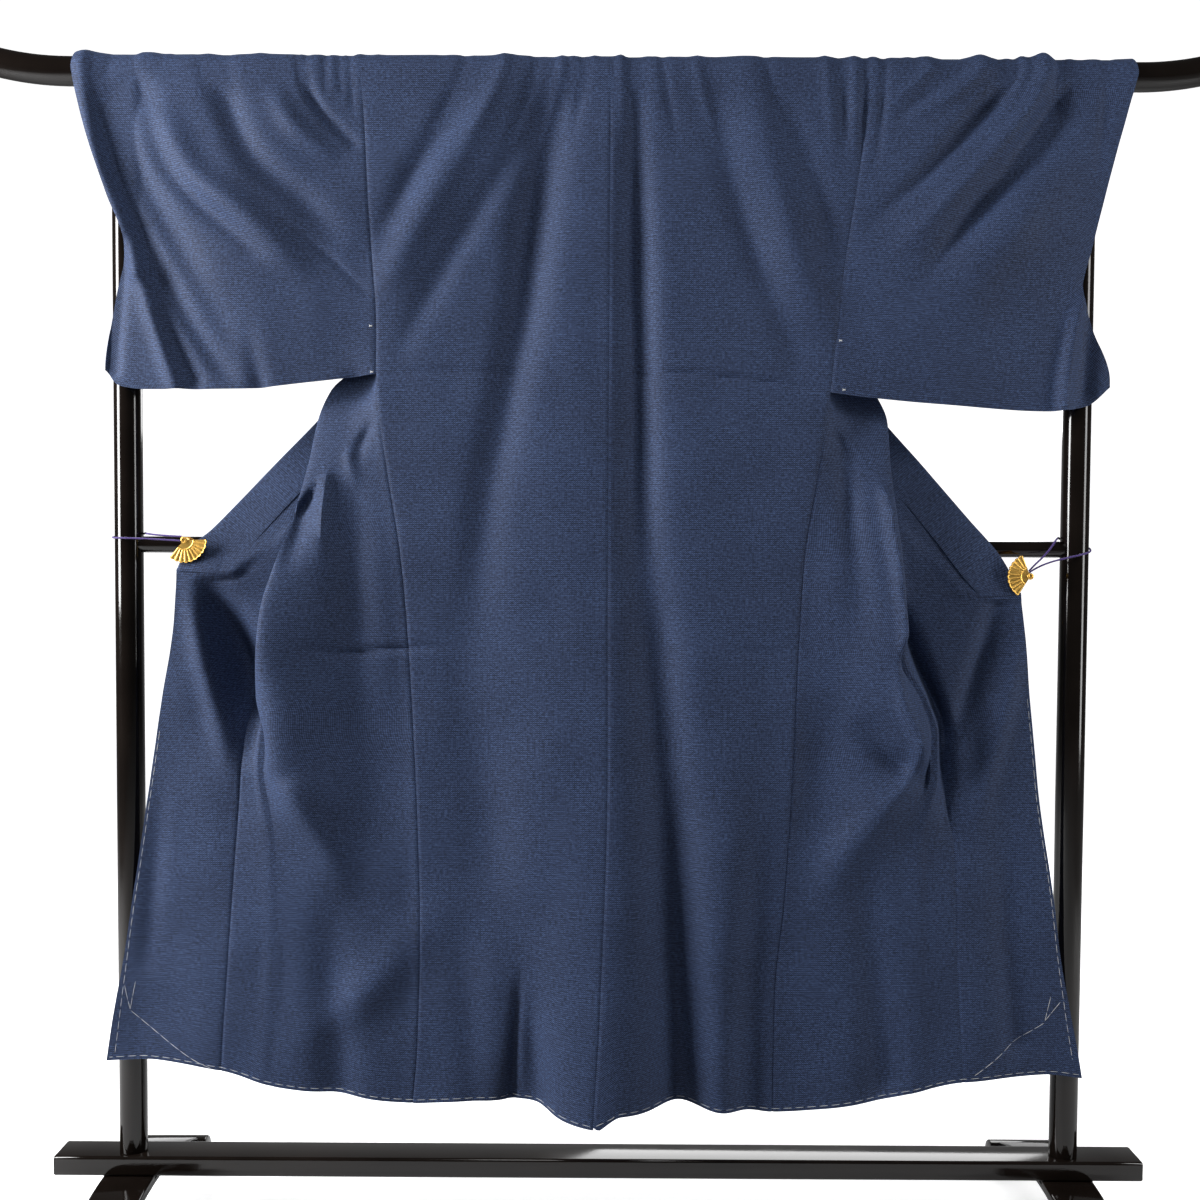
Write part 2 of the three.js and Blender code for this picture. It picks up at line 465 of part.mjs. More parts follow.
// A sleeve is a ring of cloth over the rail at each share a from the armhole to the cuff. Its near and far
// layers meet along the bottom, below the cuff opening and below the armhole.
const SLEEVE_COLUMNS = 7;
const NEAR_ROWS = [RAIL_Z, ...[...ARMHOLE_ROWS].reverse(), 1205]; // heights at the armhole edge
const FAR_ROWS = [SHOULDER_Z, 1500, 1462, 1425, 1380, 1330, 1290, 1262, ARMPIT_Z, 1205];
const SLEEVE_LAYERS = 3.4; // between the two layers where they are sewn together
const NEAR_OUTER_Y = [[1573, -20.6], [1500, -26], [SLEEVE_OPEN_Z, -28.6], [1120, -29]];
const FAR_OUTER_Y = {
  left: [[1573, 20.6], [1530, 26], [1490, 30], [1455, 26], [1400, 2], [1368, -16], [SLEEVE_OPEN_Z, -25.2]],
  right: [[1573, 20.6], [1530, 26], [1490, 30], [1455, 26], [1400, 2], [1350, -16], [1288, -25.2]],
};
const NINGYO_SLIT = 3; // the sleeve stands off the body below the armhole

function sleeve(side) {
  const shape = SLEEVE[side];
  const inner = (z) => along(SIDE[side], z) + SEAM_GAP + NINGYO_SLIT * smooth((ARMPIT_Z - z) / 12);
  const armholeBottom = along(shape.bottom, 0);
  const share = (z) => (RAIL_Z - z) / (RAIL_Z - armholeBottom);
  const near = (a, s) => {
    const z = lerp(RAIL_Z, along(shape.bottom, a), s);
    const x = lerp(inner(z), along(shape.outer, z), a);
    const swell = 11 * Math.sin(Math.PI * a) * Math.sin(Math.PI * s) ** 0.7;
    const calm = smooth(a * 8) * smooth((1 - a) * 12);
    const y = lerp(along(SIDE_Y, z), along(NEAR_OUTER_Y, z), a) - swell + foldDepth(shape.folds, x, z) * calm;
    return new THREE.Vector3(SIGN[side] * x, y, z);
  };
  const far = (a, s) => {
    const z = lerp(RAIL_Z, along(shape.bottom, a), s);
    const x = lerp(inner(z), along(shape.farOuter, z), a);
    const closedInner = along(SIDE_Y, z) + SLEEVE_LAYERS;
    const innerY = lerp(along(FRONT_SIDE_Y, z), closedInner, smooth((ARMPIT_Z - z) / 14));
    const swell = 18 * (Math.sin(Math.PI * a) * Math.sin(Math.PI * s)) ** 2;
    const y = lerp(innerY, along(FAR_OUTER_Y[side], z), smooth(a)) + swell;
    return new THREE.Vector3(SIGN[side] * x, y, z);
  };
  const ring = (a) => {
    const nearLayer = [...NEAR_ROWS, armholeBottom].map((z) => near(a, share(z)));
    const top = spread(OVER_RAIL, (turn) => overRail(nearLayer[0].x, turn)).slice(1);
    const farLayer = [...FAR_ROWS, armholeBottom].map((z) => far(a, share(z)));
    return [...nearLayer.reverse(), ...top, ...farLayer];
  };
  return wall(spread(SLEEVE_COLUMNS, ring), CLOTH, true);
}

// The collar is a band folded over the edge of the cloth. Its section runs from the sewn edge of the near layer
// round the free edge to the sewn edge of the far layer.
const COLLAR_SECTION = [
  { share: 0, layer: -1 }, { share: 0.5, layer: -1 }, { share: 0.95, layer: -1 }, { share: 1, layer: 0 },
  { share: 0.95, layer: 1 }, { share: 0.5, layer: 1 }, { share: 0, layer: 1 },
];

function collarPoint(side, step, { share, layer }) {
  const table = COLLAR[side];
  const at = (name) => along(table.map((row, i) => [i, row[name]]), step);
  const x = lerp(at('sewnX'), at('freeX'), share);
  const z = lerp(at('sewnZ'), at('freeZ'), share);
  const slope = (along(COLLAR_Y[side], z + 1) - along(COLLAR_Y[side], z - 1)) / 2;
  const normal = new THREE.Vector3(0, 1, -slope).normalize();
  const point = new THREE.Vector3(SIGN[side] * x, along(COLLAR_Y[side], z), z);
  return point.addScaledVector(normal, layer * COLLAR_ROOM);
}

function collar() {
  const last = COLLAR.left.length - 1;
  const steps = [0, ...spread(3 * last - 3, (t) => lerp(1, last, t))]; // coarse across the back of the neck
  const leg = (side) => steps.map((step) => COLLAR_SECTION.map((part) => collarPoint(side, step, part)));
  return wall([...leg('left').reverse(), ...leg('right').slice(1)], COLLAR_CLOTH);
}

// ---- the stand ----------------------------------------------------------------------------------------------

const ROUND = 24; // sides of a round bar
const FINE_ROUND = 48; // and of the cut that fits round it
const CUT_LENGTH = 80;

// Centre line of the top rail: straight in the middle, bent up at both ends. Its steps lie in the bends.
class RailLine extends THREE.Curve {
  getPoint(t, target = new THREE.Vector3()) {
    const bendShare = 0.45; // share of the steps in each bend
    const fromEnd = Math.min(t, 1 - t) / bendShare;
    const middle = (t - bendShare) / (1 - 2 * bendShare);
    if (fromEnd > 1) return target.set(lerp(-RAIL_STRAIGHT, RAIL_STRAIGHT, middle), 0, RAIL_Z);
    const angle = RAIL_TIP_ANGLE * (1 - fromEnd);
    const x = RAIL_STRAIGHT + RAIL_BEND * Math.sin(angle);
    return target.set(Math.sign(t - 0.5) * x, 0, RAIL_Z + RAIL_BEND * (1 - Math.cos(angle)));
  }

  getPointAt(u, target) {
    return this.getPoint(u, target);
  }

  getTangentAt(u, target) {
    return this.getTangent(u, target);
  }
}

function disc(radius, sides) {
  return new THREE.Shape(spread(sides - 1, (t) => {
    const angle = (2 * Math.PI * t * (sides - 1)) / sides;
    return new THREE.Vector2(radius * Math.cos(angle), radius * Math.sin(angle));
  }));
}

// A domed cap that closes an end of the rail, standing along Y on the origin.
function railCap() {
  const dome = spread(CAP.steps, (t) => {
    const angle = (Math.PI / 2) * t;
    return new THREE.Vector2(RAIL_RADIUS * Math.cos(angle), CAP.rim + CAP.dome * Math.sin(angle));
  });
  dome[CAP.steps].x = 0;
  return new THREE.LatheGeometry([new THREE.Vector2(0, 0), new THREE.Vector2(RAIL_RADIUS, 0), ...dome], ROUND);
}

function solidOf(geometry) {
  const bare = geometry.clone();
  bare.deleteAttribute('normal');
  bare.deleteAttribute('uv');
  const merged = mergeVertices(bare, 1e-4);
  return new wasm.Manifold(new wasm.Mesh({
    numProp: 3,
    vertProperties: Float32Array.from(merged.attributes.position.array),
    triVerts: Uint32Array.from(merged.index.array),
  }));
}

function geometryOf(solid) {
  const mesh = solid.getMesh();
  const geometry = new THREE.BufferGeometry();
  geometry.setAttribute('position', new THREE.Float32BufferAttribute(mesh.vertProperties, 3));
  geometry.setIndex(new THREE.Uint32BufferAttribute(mesh.triVerts, 1));
  return geometry;
}

function bar(radius, length, axis, sides = ROUND) {
  const geometry = new THREE.CylinderGeometry(radius, radius, length, sides); // stands along Y
  if (axis === 'x') geometry.rotateZ(Math.PI / 2);
  if (axis === 'z') geometry.rotateX(Math.PI / 2);
  return geometry;
}

const PART_GAP = 0.3; // between pieces of the stand that meet

function upright(side) {
  const height = RAIL_Z - BASE.top - PART_GAP;
  const post = bar(UPRIGHT_RADIUS, height, 'z').translate(0, 0, BASE.top + PART_GAP + height / 2);
  const saddle = bar(RAIL_RADIUS + PART_GAP, CUT_LENGTH, 'x', FINE_ROUND).translate(0, 0, RAIL_Z);
  const cut = solidOf(post).subtract(solidOf(saddle));
  return geometryOf(cut).translate(SIGN[side] * UPRIGHT_X, 0, 0);
}

function crossbar() {
  let solid = solidOf(bar(CROSSBAR_RADIUS, 2 * UPRIGHT_X, 'x').translate(0, 0, CROSSBAR_Z));
  for (const side of SIDES) {
    const post = bar(UPRIGHT_RADIUS + PART_GAP, CUT_LENGTH, 'z', FINE_ROUND);
    solid = solid.subtract(solidOf(post.translate(SIGN[side] * UPRIGHT_X, 0, CROSSBAR_Z)));
  }
  return geometryOf(solid);
}

function baseRail() {
  const { halfLength, depth, bottom, top, corner, bevel } = BASE;
  const halfX = halfLength - bevel;
  const halfY = depth / 2 - bevel;
  const plan = new THREE.Shape();
  plan.moveTo(-halfX + corner, -halfY);
  plan.lineTo(halfX - corner, -halfY);
  plan.absarc(halfX - corner, -halfY + corner, corner, -Math.PI / 2, 0);
  plan.absarc(halfX - corner, halfY - corner, corner, 0, Math.PI / 2);
  plan.absarc(-halfX + corner, halfY - corner, corner, Math.PI / 2, Math.PI);
  plan.absarc(-halfX + corner, -halfY + corner, corner, Math.PI, 1.5 * Math.PI);
  const options = { depth: top - bottom - 2 * bevel, bevelSize: bevel, bevelThickness: bevel, bevelSegments: 2,
    curveSegments: 4 };
  return new THREE.ExtrudeGeometry(plan, options).translate(0, 0, bottom + bevel);
}

// Turns a shape extruded along Z so that it lies across X, with the shape's x along Y and its y along Z.
function acrossX(geometry, length) {
  const basis = [new THREE.Vector3(0, 1, 0), new THREE.Vector3(0, 0, 1), new THREE.Vector3(1, 0, 0)];
  return geometry.translate(0, 0, -length / 2).applyMatrix4(new THREE.Matrix4().makeBasis(...basis));
}

// A foot: an arched strip under the base rail, with a round bar across each end, flat where it rests.
function foot(side) {
  const { width, thick, endZ, barLength, barRadius, barZ, barY } = FOOT;
  const crown = BASE.bottom - PART_GAP - thick / 2;
  const rise = crown - endZ;
  const radius = (barY ** 2 + rise ** 2) / (2 * rise);
  const half = Math.asin(barY / radius);
  const arch = new THREE.Shape();
  arch.absarc(0, 0, radius + thick / 2, Math.PI / 2 - half, Math.PI / 2 + half, false);
  arch.absarc(0, 0, radius - thick / 2, Math.PI / 2 + half, Math.PI / 2 - half, true);
  const strip = new THREE.ExtrudeGeometry(arch, { depth: width, bevelEnabled: false, curveSegments: 16 });
  let solid = solidOf(acrossX(strip, width).translate(0, 0, crown - radius));
  const flat = Math.asin(barZ / barRadius);
  const section = new THREE.Shape();
  section.absarc(0, 0, barRadius, -flat, Math.PI + flat, false);
  for (const end of [-1, 1]) {
    const round = new THREE.ExtrudeGeometry(section, { depth: barLength, bevelEnabled: false, curveSegments: 20 });
    solid = solid.add(solidOf(acrossX(round, barLength).translate(0, end * barY, barZ)));
  }
  const { length, height } = FOOT_SEAT;
  const seat = new THREE.BoxGeometry(width, length, height).translate(0, 0, BASE.bottom - PART_GAP - height / 2);
  return geometryOf(solid.add(solidOf(seat))).translate(SIGN[side] * UPRIGHT_X, 0, 0);
}

// ---- the clips and their cords ------------------------------------------------------------------------------

const CLIP = {
  left: { x: -557, z: 946, from: -131, to: 2, fanY: -32.4, jawY: -14.6 },
  right: { x: 571, z: 904, from: 111, to: 239, fanY: -35.5, jawY: -21.5 },
};
const FAN = { radius: 30.5, thick: 2, hub: 4.5, pleats: 10, jawRadius: 24, jawSpread: 44, jawThick: 1.6, pin: 3 };

const degrees = (angle) => (angle * Math.PI) / 180;

// A flat sector with a round hub, facing -Y, its front at frontY.
function sector(clip, radius, from, to, thick, frontY) {
  const outline = new THREE.Shape();
  outline.moveTo(FAN.hub * Math.cos(degrees(from - 90)), FAN.hub * Math.sin(degrees(from - 90)));
  outline.lineTo(radius * Math.cos(degrees(from)), radius * Math.sin(degrees(from)));
  outline.absarc(0, 0, radius, degrees(from), degrees(to), false);
  outline.lineTo(FAN.hub * Math.cos(degrees(to + 90)), FAN.hub * Math.sin(degrees(to + 90)));
  outline.absarc(0, 0, FAN.hub, degrees(to + 90), degrees(from + 270), false);
  const plate = new THREE.ExtrudeGeometry(outline, { depth: thick, bevelEnabled: false, curveSegments: FAN.pleats });
  return plate.rotateX(Math.PI / 2).translate(clip.x, frontY + thick, clip.z);
}

function clipFan(side) {
  const clip = CLIP[side];
  return sector(clip, FAN.radius, clip.from, clip.to, FAN.thick, clip.fanY);
}

function clipJaw(side) {
  const clip = CLIP[side];
  const middle = (clip.from + clip.to) / 2;
  const plate = sector(clip, FAN.jawRadius, middle - FAN.jawSpread, middle + FAN.jawSpread, FAN.jawThick, clip.jawY);
  const reach = clip.jawY - (clip.fanY + FAN.thick + PART_GAP) + FAN.jawThick / 2;
  const pin = bar(FAN.pin, reach, 'y', 12)
    .translate(clip.x, clip.fanY + FAN.thick + PART_GAP + reach / 2, clip.z);
  return geometryOf(solidOf(plate).add(solidOf(pin)));
}

// Each cord is looped from the clip's pin round the upright, over the crossbar, and back to the pin.
const CORD_RADIUS = 1.4;
const CORD_ROUTE = {
  left: [[-562.2, -24, 945], [-580, -23.5, 946], [-610, -22.4, 947.5], [-630, -21.4, 948], [-642, -20.8, 948.3],
    [-656.7, -14.7, 948.8], [-662.8, 0, 949.8], [-656.7, 14.7, 951.2], [-642, 20.8, 953], [-628, 15.6, 954.6],
    [-620.6, 1, 955.4], [-614, -10, 954.6], [-600, -17.5, 953], [-580, -22.5, 951.6], [-562, -26, 950.8]],
  right: [[572, -28, 909.2], [580, -27, 914], [592, -24.8, 919.5], [607, -22.8, 924.5], [628, -21.4, 929.6],
    [642, -20.8, 932.8], [656.7, -14.7, 936.8], [662.8, 0, 941.5], [656.7, 14.7, 946.5], [642, 20.8, 951],
    [628, 15.6, 954.6], [620.6, 1, 956], [613.5, -9, 952.6], [605, -17, 943.5], [593, -20.6, 930.5],
    [581.5, -23, 920], [573, -23.5, 911.2]],
};

function tieCord(side) {
  const line = new THREE.CatmullRomCurve3(CORD_ROUTE[side].map((point) => new THREE.Vector3(...point)));
  return new THREE.ExtrudeGeometry(disc(CORD_RADIUS, 8), { steps: 44, bevelEnabled: false, extrudePath: line });
}

// ---- the object ---------------------------------------------------------------------------------------------

for (const side of SIDES) {
  add(`body_${side}`, body(side), CLOTH_LOOK);
  add(`okumi_${side}`, okumi(side), CLOTH_LOOK);
  add(`sleeve_${side}`, sleeve(side), CLOTH_LOOK);
}
add('collar', collar(), CLOTH_LOOK);

const rail = new THREE.ExtrudeGeometry(disc(RAIL_RADIUS, ROUND), { steps: 20, bevelEnabled: false,
  extrudePath: new RailLine() });
add('top_rail', rail, LACQUER_LOOK);
add('crossbar', crossbar(), LACQUER_LOOK);
add('base_rail', baseRail(), LACQUER_LOOK);
for (const side of SIDES) {
  const tip = [SIGN[side] * (RAIL_TIP + PART_GAP), 0, RAIL_Z + RAIL_BEND * (1 - Math.cos(RAIL_TIP_ANGLE))];
  const cap = add(`rail_cap_${side}`, railCap(), LACQUER_LOOK, tip);
  cap.rotation.z = (SIGN[side] * -Math.PI) / 2;
  cap.rotateOnWorldAxis(new THREE.Vector3(0, 1, 0), -SIGN[side] * RAIL_TIP_ANGLE);
  add(`upright_${side}`, upright(side), LACQUER_LOOK);
  add(`foot_${side}`, foot(side), LACQUER_LOOK);
  add(`clip_fan_${side}`, clipFan(side), GOLD_LOOK);
  add(`clip_jaw_${side}`, clipJaw(side), GOLD_LOOK);
  add(`tie_cord_${side}`, tieCord(side), CORD_LOOK);
}

export default kimono;
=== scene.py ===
"""Looks of a men's kimono hung from behind on a kimono stand, its fronts spread sideways and clipped to the uprights.

Tables are in millimetres: x to the right, y away from the garment's back, z up. shell() and the other mesh makers
turn them to metres.
"""

import json
import math

import bpy
import numpy as np
from mathutils import Matrix, Vector
from mathutils.bvhtree import BVHTree

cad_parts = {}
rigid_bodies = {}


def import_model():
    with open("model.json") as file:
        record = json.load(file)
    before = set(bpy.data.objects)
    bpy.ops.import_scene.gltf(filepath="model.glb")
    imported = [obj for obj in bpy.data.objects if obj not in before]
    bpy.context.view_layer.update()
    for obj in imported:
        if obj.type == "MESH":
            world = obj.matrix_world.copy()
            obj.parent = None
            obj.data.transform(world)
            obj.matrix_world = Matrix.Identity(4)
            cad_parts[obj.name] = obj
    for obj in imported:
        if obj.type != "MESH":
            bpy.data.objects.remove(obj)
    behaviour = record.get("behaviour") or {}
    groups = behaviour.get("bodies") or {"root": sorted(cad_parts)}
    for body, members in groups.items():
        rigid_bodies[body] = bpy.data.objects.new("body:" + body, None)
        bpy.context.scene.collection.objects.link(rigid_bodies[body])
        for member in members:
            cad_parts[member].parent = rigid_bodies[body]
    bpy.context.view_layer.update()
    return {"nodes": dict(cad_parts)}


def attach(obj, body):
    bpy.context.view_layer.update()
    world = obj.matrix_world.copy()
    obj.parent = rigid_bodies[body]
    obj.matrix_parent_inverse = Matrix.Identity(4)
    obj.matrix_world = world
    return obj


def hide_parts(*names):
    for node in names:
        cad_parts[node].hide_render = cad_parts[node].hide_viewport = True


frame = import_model()

bl_info = {
    "name": "Kimono on a stand",
    "version": (1, 0, 0),
    "blender": (4, 5, 0),
    "location": "View3D > Sidebar > Kimono",
    "description": "Builds the cloth, clips, cords and stand of a hung kimono",
    "category": "Object",
}

MM = 0.001
SIGN = {"left": -1, "right": 1}
SIDES = ("left", "right")

# ---- driving sizes of the garment and the stand ----

# Seams: the gap between two panels' middle surfaces, and how far a front's side edge lies under the back.
SEAM_GAP = 0.06
SEAM_TUCK = 1.0
# Collar: the factor of its thickness, how cloth goes into it, the height from which it holds the front, and how
# far the overlap panel reaches up into its end.
COLLAR_ROOM = 2.9
COLLAR_ENTRY = 14
COLLAR_MARGIN = 18
COLLAR_TAKES_Z = 1523
COLLAR_END_LAP = 9
# Stand.
RAIL_RADIUS = 19
RAIL_Z = 1573
RAIL_STRAIGHT = 716
RAIL_TIP = 872
RAIL_BEND = 420
CLOTH_OVER_RAIL = 20.6
UPRIGHT_X = 642
UPRIGHT_RADIUS = 18.5
CROSSBAR_Z = 940
CROSSBAR_RADIUS = 11
BASE = {"half_length": 744, "depth": 50, "bottom": 78, "top": 105}
FOOT = {"width": 70, "thick": 14, "end_z": 34, "bar_length": 96, "bar_radius": 22.5, "bar_z": 20.5, "bar_y": 168}
FOOT_SEAT = {"length": 40, "height": 8}
PART_GAP = 0.3
STAND_SHARP = 35
# Garment: the tuck of a front (shares of its section, then millimetres), and its heights.
TUCK = {"from": 0.66, "to": 0.76, "radius": 2.8, "flat": 8, "opens": 6, "overlap": 40}
HEM_Z = 190
SHOULDER_Z = 1536
ARMPIT_Z = 1240
SLEEVE_OPEN_Z = 1340
KENSAKI_Z = 1310
SLEEVE_LAYERS = 3.4
SLEEVE_SEAM_ROOM = 0.4

# Heights over which something sets in, as (top, over): none of it above top, all of it from over below top.
# COLLAR_FREE counts from the collar's end.
OFF_RAIL = (1560, 60)
IN_VIEW = (1225, 70)
SIDE_SEAM_TUCK = (1300, 30)
COLLAR_FREE = (-40, 30)

# Cloth over an upright: its least distance from the stand's plane, and how that falls beside the upright.
UPRIGHT_CLEAR = {"least": 21.5, "flat": 16, "fall": 0.02}
SWELL = {"near": 11, "far": 18}

# Ripples: their height as a factor, and each surface's seed.
RIPPLE = {"height": 0.5, "near": 3, "far": 8, "collar": 5}
# How the rail presses the relief flat: from a height, over a height, the share kept, and what is taken off it.
PRESSED = {"near": (1520, 40, 0.75, 2.2), "far": (1528, 42, 0.6, 0)}
# The far side's creases are the near side's: depth and mirroring factors, and how much lower they lie.
FAR_CREASE = {"depth": -0.8, "mirror": -0.97, "lower": 14}
# Shares of a front's section: strip along the side seam, strip along the overlap seam, and the calm round the tuck.
FRONT_STRIPS = {"side": 0.3, "seam": 0.8, "calm_from": 0.655, "calm_to": 0.78, "calm_over": 0.05, "side_width": 9}
GATHER = {"height": 1.3, "width": 6.0}
SEAM_ROLL = {"depth": 1.1, "width": 1.9}

# ---- tables of the garment ----

SIDE = {
    "left": [[1592, 328], [1542, 321], [1371, 311], [1240, 301], [1150, 300], [1040, 285], [921, 266], [806, 256],
             [555, 243], [427, 240], [264, 244], [HEM_Z, 250]],
    "right": [[1592, 362], [1517, 350], [1400, 333], [1290, 317], [1240, 311], [1150, 302], [1029, 284],
              [924, 268], [751, 259], [635, 255], [470, 246], [334, 234], [HEM_Z, 233]],
}
SIDE_Y = [[1540, -21], [1400, -25], [1240, -30], [921, -42], [555, -46], [HEM_Z, -45]]
CENTRE_X = [[1580, 8.5], [923, 8.3], [633, 9.5], [348, 1.8], [HEM_Z, -7]]
CENTRE_Y = [[1540, -21], [1275, -34], [923, -50], [633, -66], [348, -86], [HEM_Z, -98]]

# Columns: freeX, freeZ, sewnX, sewnZ, from the back of the neck to the end at the front edge.
COLLAR = {
    "left": [[0, 1584, 0, 1538], [40, 1582, 28, 1537], [72, 1566, 43, 1519], [98, 1532, 54, 1500],
             [122, 1496, 75, 1467], [165, 1425, 119, 1395], [228, 1330, 183, 1298], [305, 1225, 262, 1191],
             [383, 1128, 341, 1093], [452, 1048, 410, 1013], [529, 957, 483, 927], [556, 934, 504, 913],
             [568, 905, 514, 902]],
    "right": [[0, 1584, 0, 1538], [40, 1582, 28, 1537], [72, 1566, 43, 1519], [98, 1532, 54, 1500],
              [124, 1496, 77, 1467], [172, 1425, 126, 1395], [238, 1330, 193, 1298], [312, 1225, 269, 1191],
              [387, 1121, 344, 1087], [440, 1055, 397, 1021], [493, 983, 448, 951], [538, 926, 488, 897],
              [561, 879, 507, 876]],
}
COLLAR_COLUMNS = {"freeX": 0, "freeZ": 1, "sewnX": 2, "sewnZ": 3}
COLLAR_END_Z = {"left": 899, "right": 873}
COLLAR_Y = {
    "left": [[1584, 38], [1530, 27.2], [1500, 33.4], [1425, 48], [1330, 57], [1225, 60], [1175, 57.5], [1128, 49],
             [1088, 37.5], [1048, 24], [1010, 7], [980, -6], [955, -15], [930, -22], [903, -30]],
    "right": [[1584, 38], [1530, 27.2], [1500, 33.4], [1425, 48], [1330, 57], [1225, 60], [1175, 57.5], [1121, 48],
              [1088, 38.5], [1055, 28], [1010, 8], [980, -6], [955, -15], [930, -20.5], [900, -26], [877, -30]],
}
FRONT_EDGE = {
    "left": [[903, 568], [843, 571], [729, 589], [592, 610], [433, 635], [HEM_Z, 669]],
    "right": [[877, 561], [809, 568], [694, 580], [597, 591], [479, 611], [385, 624], [HEM_Z, 657]],
}
FRONT_EDGE_Y = [[903, -30], [592, -30], [433, -28], [HEM_Z, -25]]
FRONT_SIDE_Y = [[1530, 22], [1425, 28], [1330, 22], [1275, 0], [1250, -16], [ARMPIT_Z, -24], [1190, -26],
                [1150, -30], [921, -39.2], [555, -43.2], [HEM_Z, -42.2]]

# Hang of each front: z, then x and y of the valley (a), the big ridge (r), the tuck (t) and the overlap seam (o).
HANG_COLUMNS = {"ax": 1, "ay": 2, "rx": 3, "ry": 4, "tx": 5, "ty": 6, "ox": 7, "oy": 8}
HANG = {
    "left": [
        [1536, 240, 22, 160, 22, 28, 22, 1, 22], [1530, 240, 22, 160, 22, 28, 16.5, 29.5, 27.2],
        [1523, 241, 22, 160, 22, 26, 19.5, 44, 27], [1516, 242, 23, 160, 23, 25, 21, 62, 30],
        [1500, 245, 25, 165, 26, 30, 26.5, 96, 33.4], [1462, 247, 27, 172, 28, 54, 36, 130, 42],
        [1425, 250, 28, 180, 30, 76, 40, 158, 48], [1330, 255, 30, 195, 35, 122, 46, 220, 57],
        [1290, 266, 24, 205, 36, 136, 49, 240, 59], [1240, 286, 10, 240, 34, 154, 52, 262, 60],
        [1190, 300, -2, 318, 22, 188, 50, 286, 56], [1150, 318, -6, 366, 12, 222, 48, 306, 53],
        [1110, 336, -16, 380, -2, 248, 44, 324, 46], [1048, 338, -32, 392, -20, 290, 30, 362, 29],
        [996, 338, -40, 404, -38, 324, 2, 390, 1], [955, 335, -47, 415, -55, 354, -17, 412, -18],
        [914, 330, -52, 427, -68, 380, -18, 430, -21], [855, 328, -52, 442, -78, 403, -18, 447, -20],
        [800, 325, -50, 447, -82, 418, -20, 458, -19], [742, 322, -48, 450, -80, 436, -26, 472, -23],
        [690, 318, -46, 432, -74, 446, -38, 479, -31], [640, 312, -44, 418, -68, 449, -43, 482, -34],
        [590, 308, -43, 392, -60, 441, -44, 485, -36], [535, 304, -43, 368, -52, 433, -44, 489, -37],
        [400, 302, -45, 364, -47, 431, -44, 498, -39], [HEM_Z, 310, -47, 374, -49, 442, -46, 509, -41],
    ],
    "right": [
        [1536, 248, 22, 166, 22, 28, 22, 1, 22], [1530, 248, 22, 166, 22, 28, 16.5, 29.5, 27.2],
        [1523, 249, 22, 166, 22, 26, 19.5, 44, 27], [1516, 249, 23, 166, 23, 25, 21, 62, 30],
        [1500, 250, 25, 168, 26, 30, 26.5, 97, 33.4], [1462, 252, 27, 176, 28, 56, 36, 134, 42],
        [1425, 255, 28, 184, 30, 80, 40, 164, 48], [1330, 260, 30, 200, 35, 128, 46, 230, 57],
        [1290, 270, 24, 210, 36, 142, 49, 250, 59], [1240, 290, 10, 245, 34, 160, 52, 272, 60],
        [1190, 300, -1, 318, 22, 194, 50, 294, 56], [1150, 312, -4, 368, 12, 226, 48, 312, 53],
        [1110, 330, -12, 382, -2, 248, 45, 328, 48], [1055, 336, -30, 384, -20, 286, 33, 350, 32],
        [1000, 334, -38, 388, -38, 312, 4, 374, 3], [955, 330, -46, 391, -50, 336, -16, 386, -17],
        [900, 322, -50, 394, -62, 364, -19, 400, -22], [832, 318, -48, 398, -70, 380, -26, 419, -27],
        [786, 315, -45, 384, -66, 398, -34, 436, -27], [740, 312, -42, 392, -67, 425, -42, 454, -29],
        [690, 306, -38, 414, -68, 440, -44, 467, -31], [640, 302, -36, 406, -63, 440, -45, 463, -34],
        [595, 300, -38, 374, -55, 430, -45, 466, -36], [540, 300, -42, 352, -49, 416, -45, 475, -37],
        [400, 298, -45, 350, -47, 416, -44, 480, -39], [HEM_Z, 298, -47, 357, -49, 424, -46, 491, -41],
    ],
}
HEM_LIFT = {
    "left": [[0, -11], [45, -5], [100, 4], [190, 4], [250, 1], [360, 14], [439, 24], [509, 42], [610, 52], [669, 49]],
    "right": [[0, -11], [30, 5], [72, 5], [124, 2], [233, -8], [377, 9], [490, 32], [606, 37], [657, 32]],
}
LIFT_REACH = 240

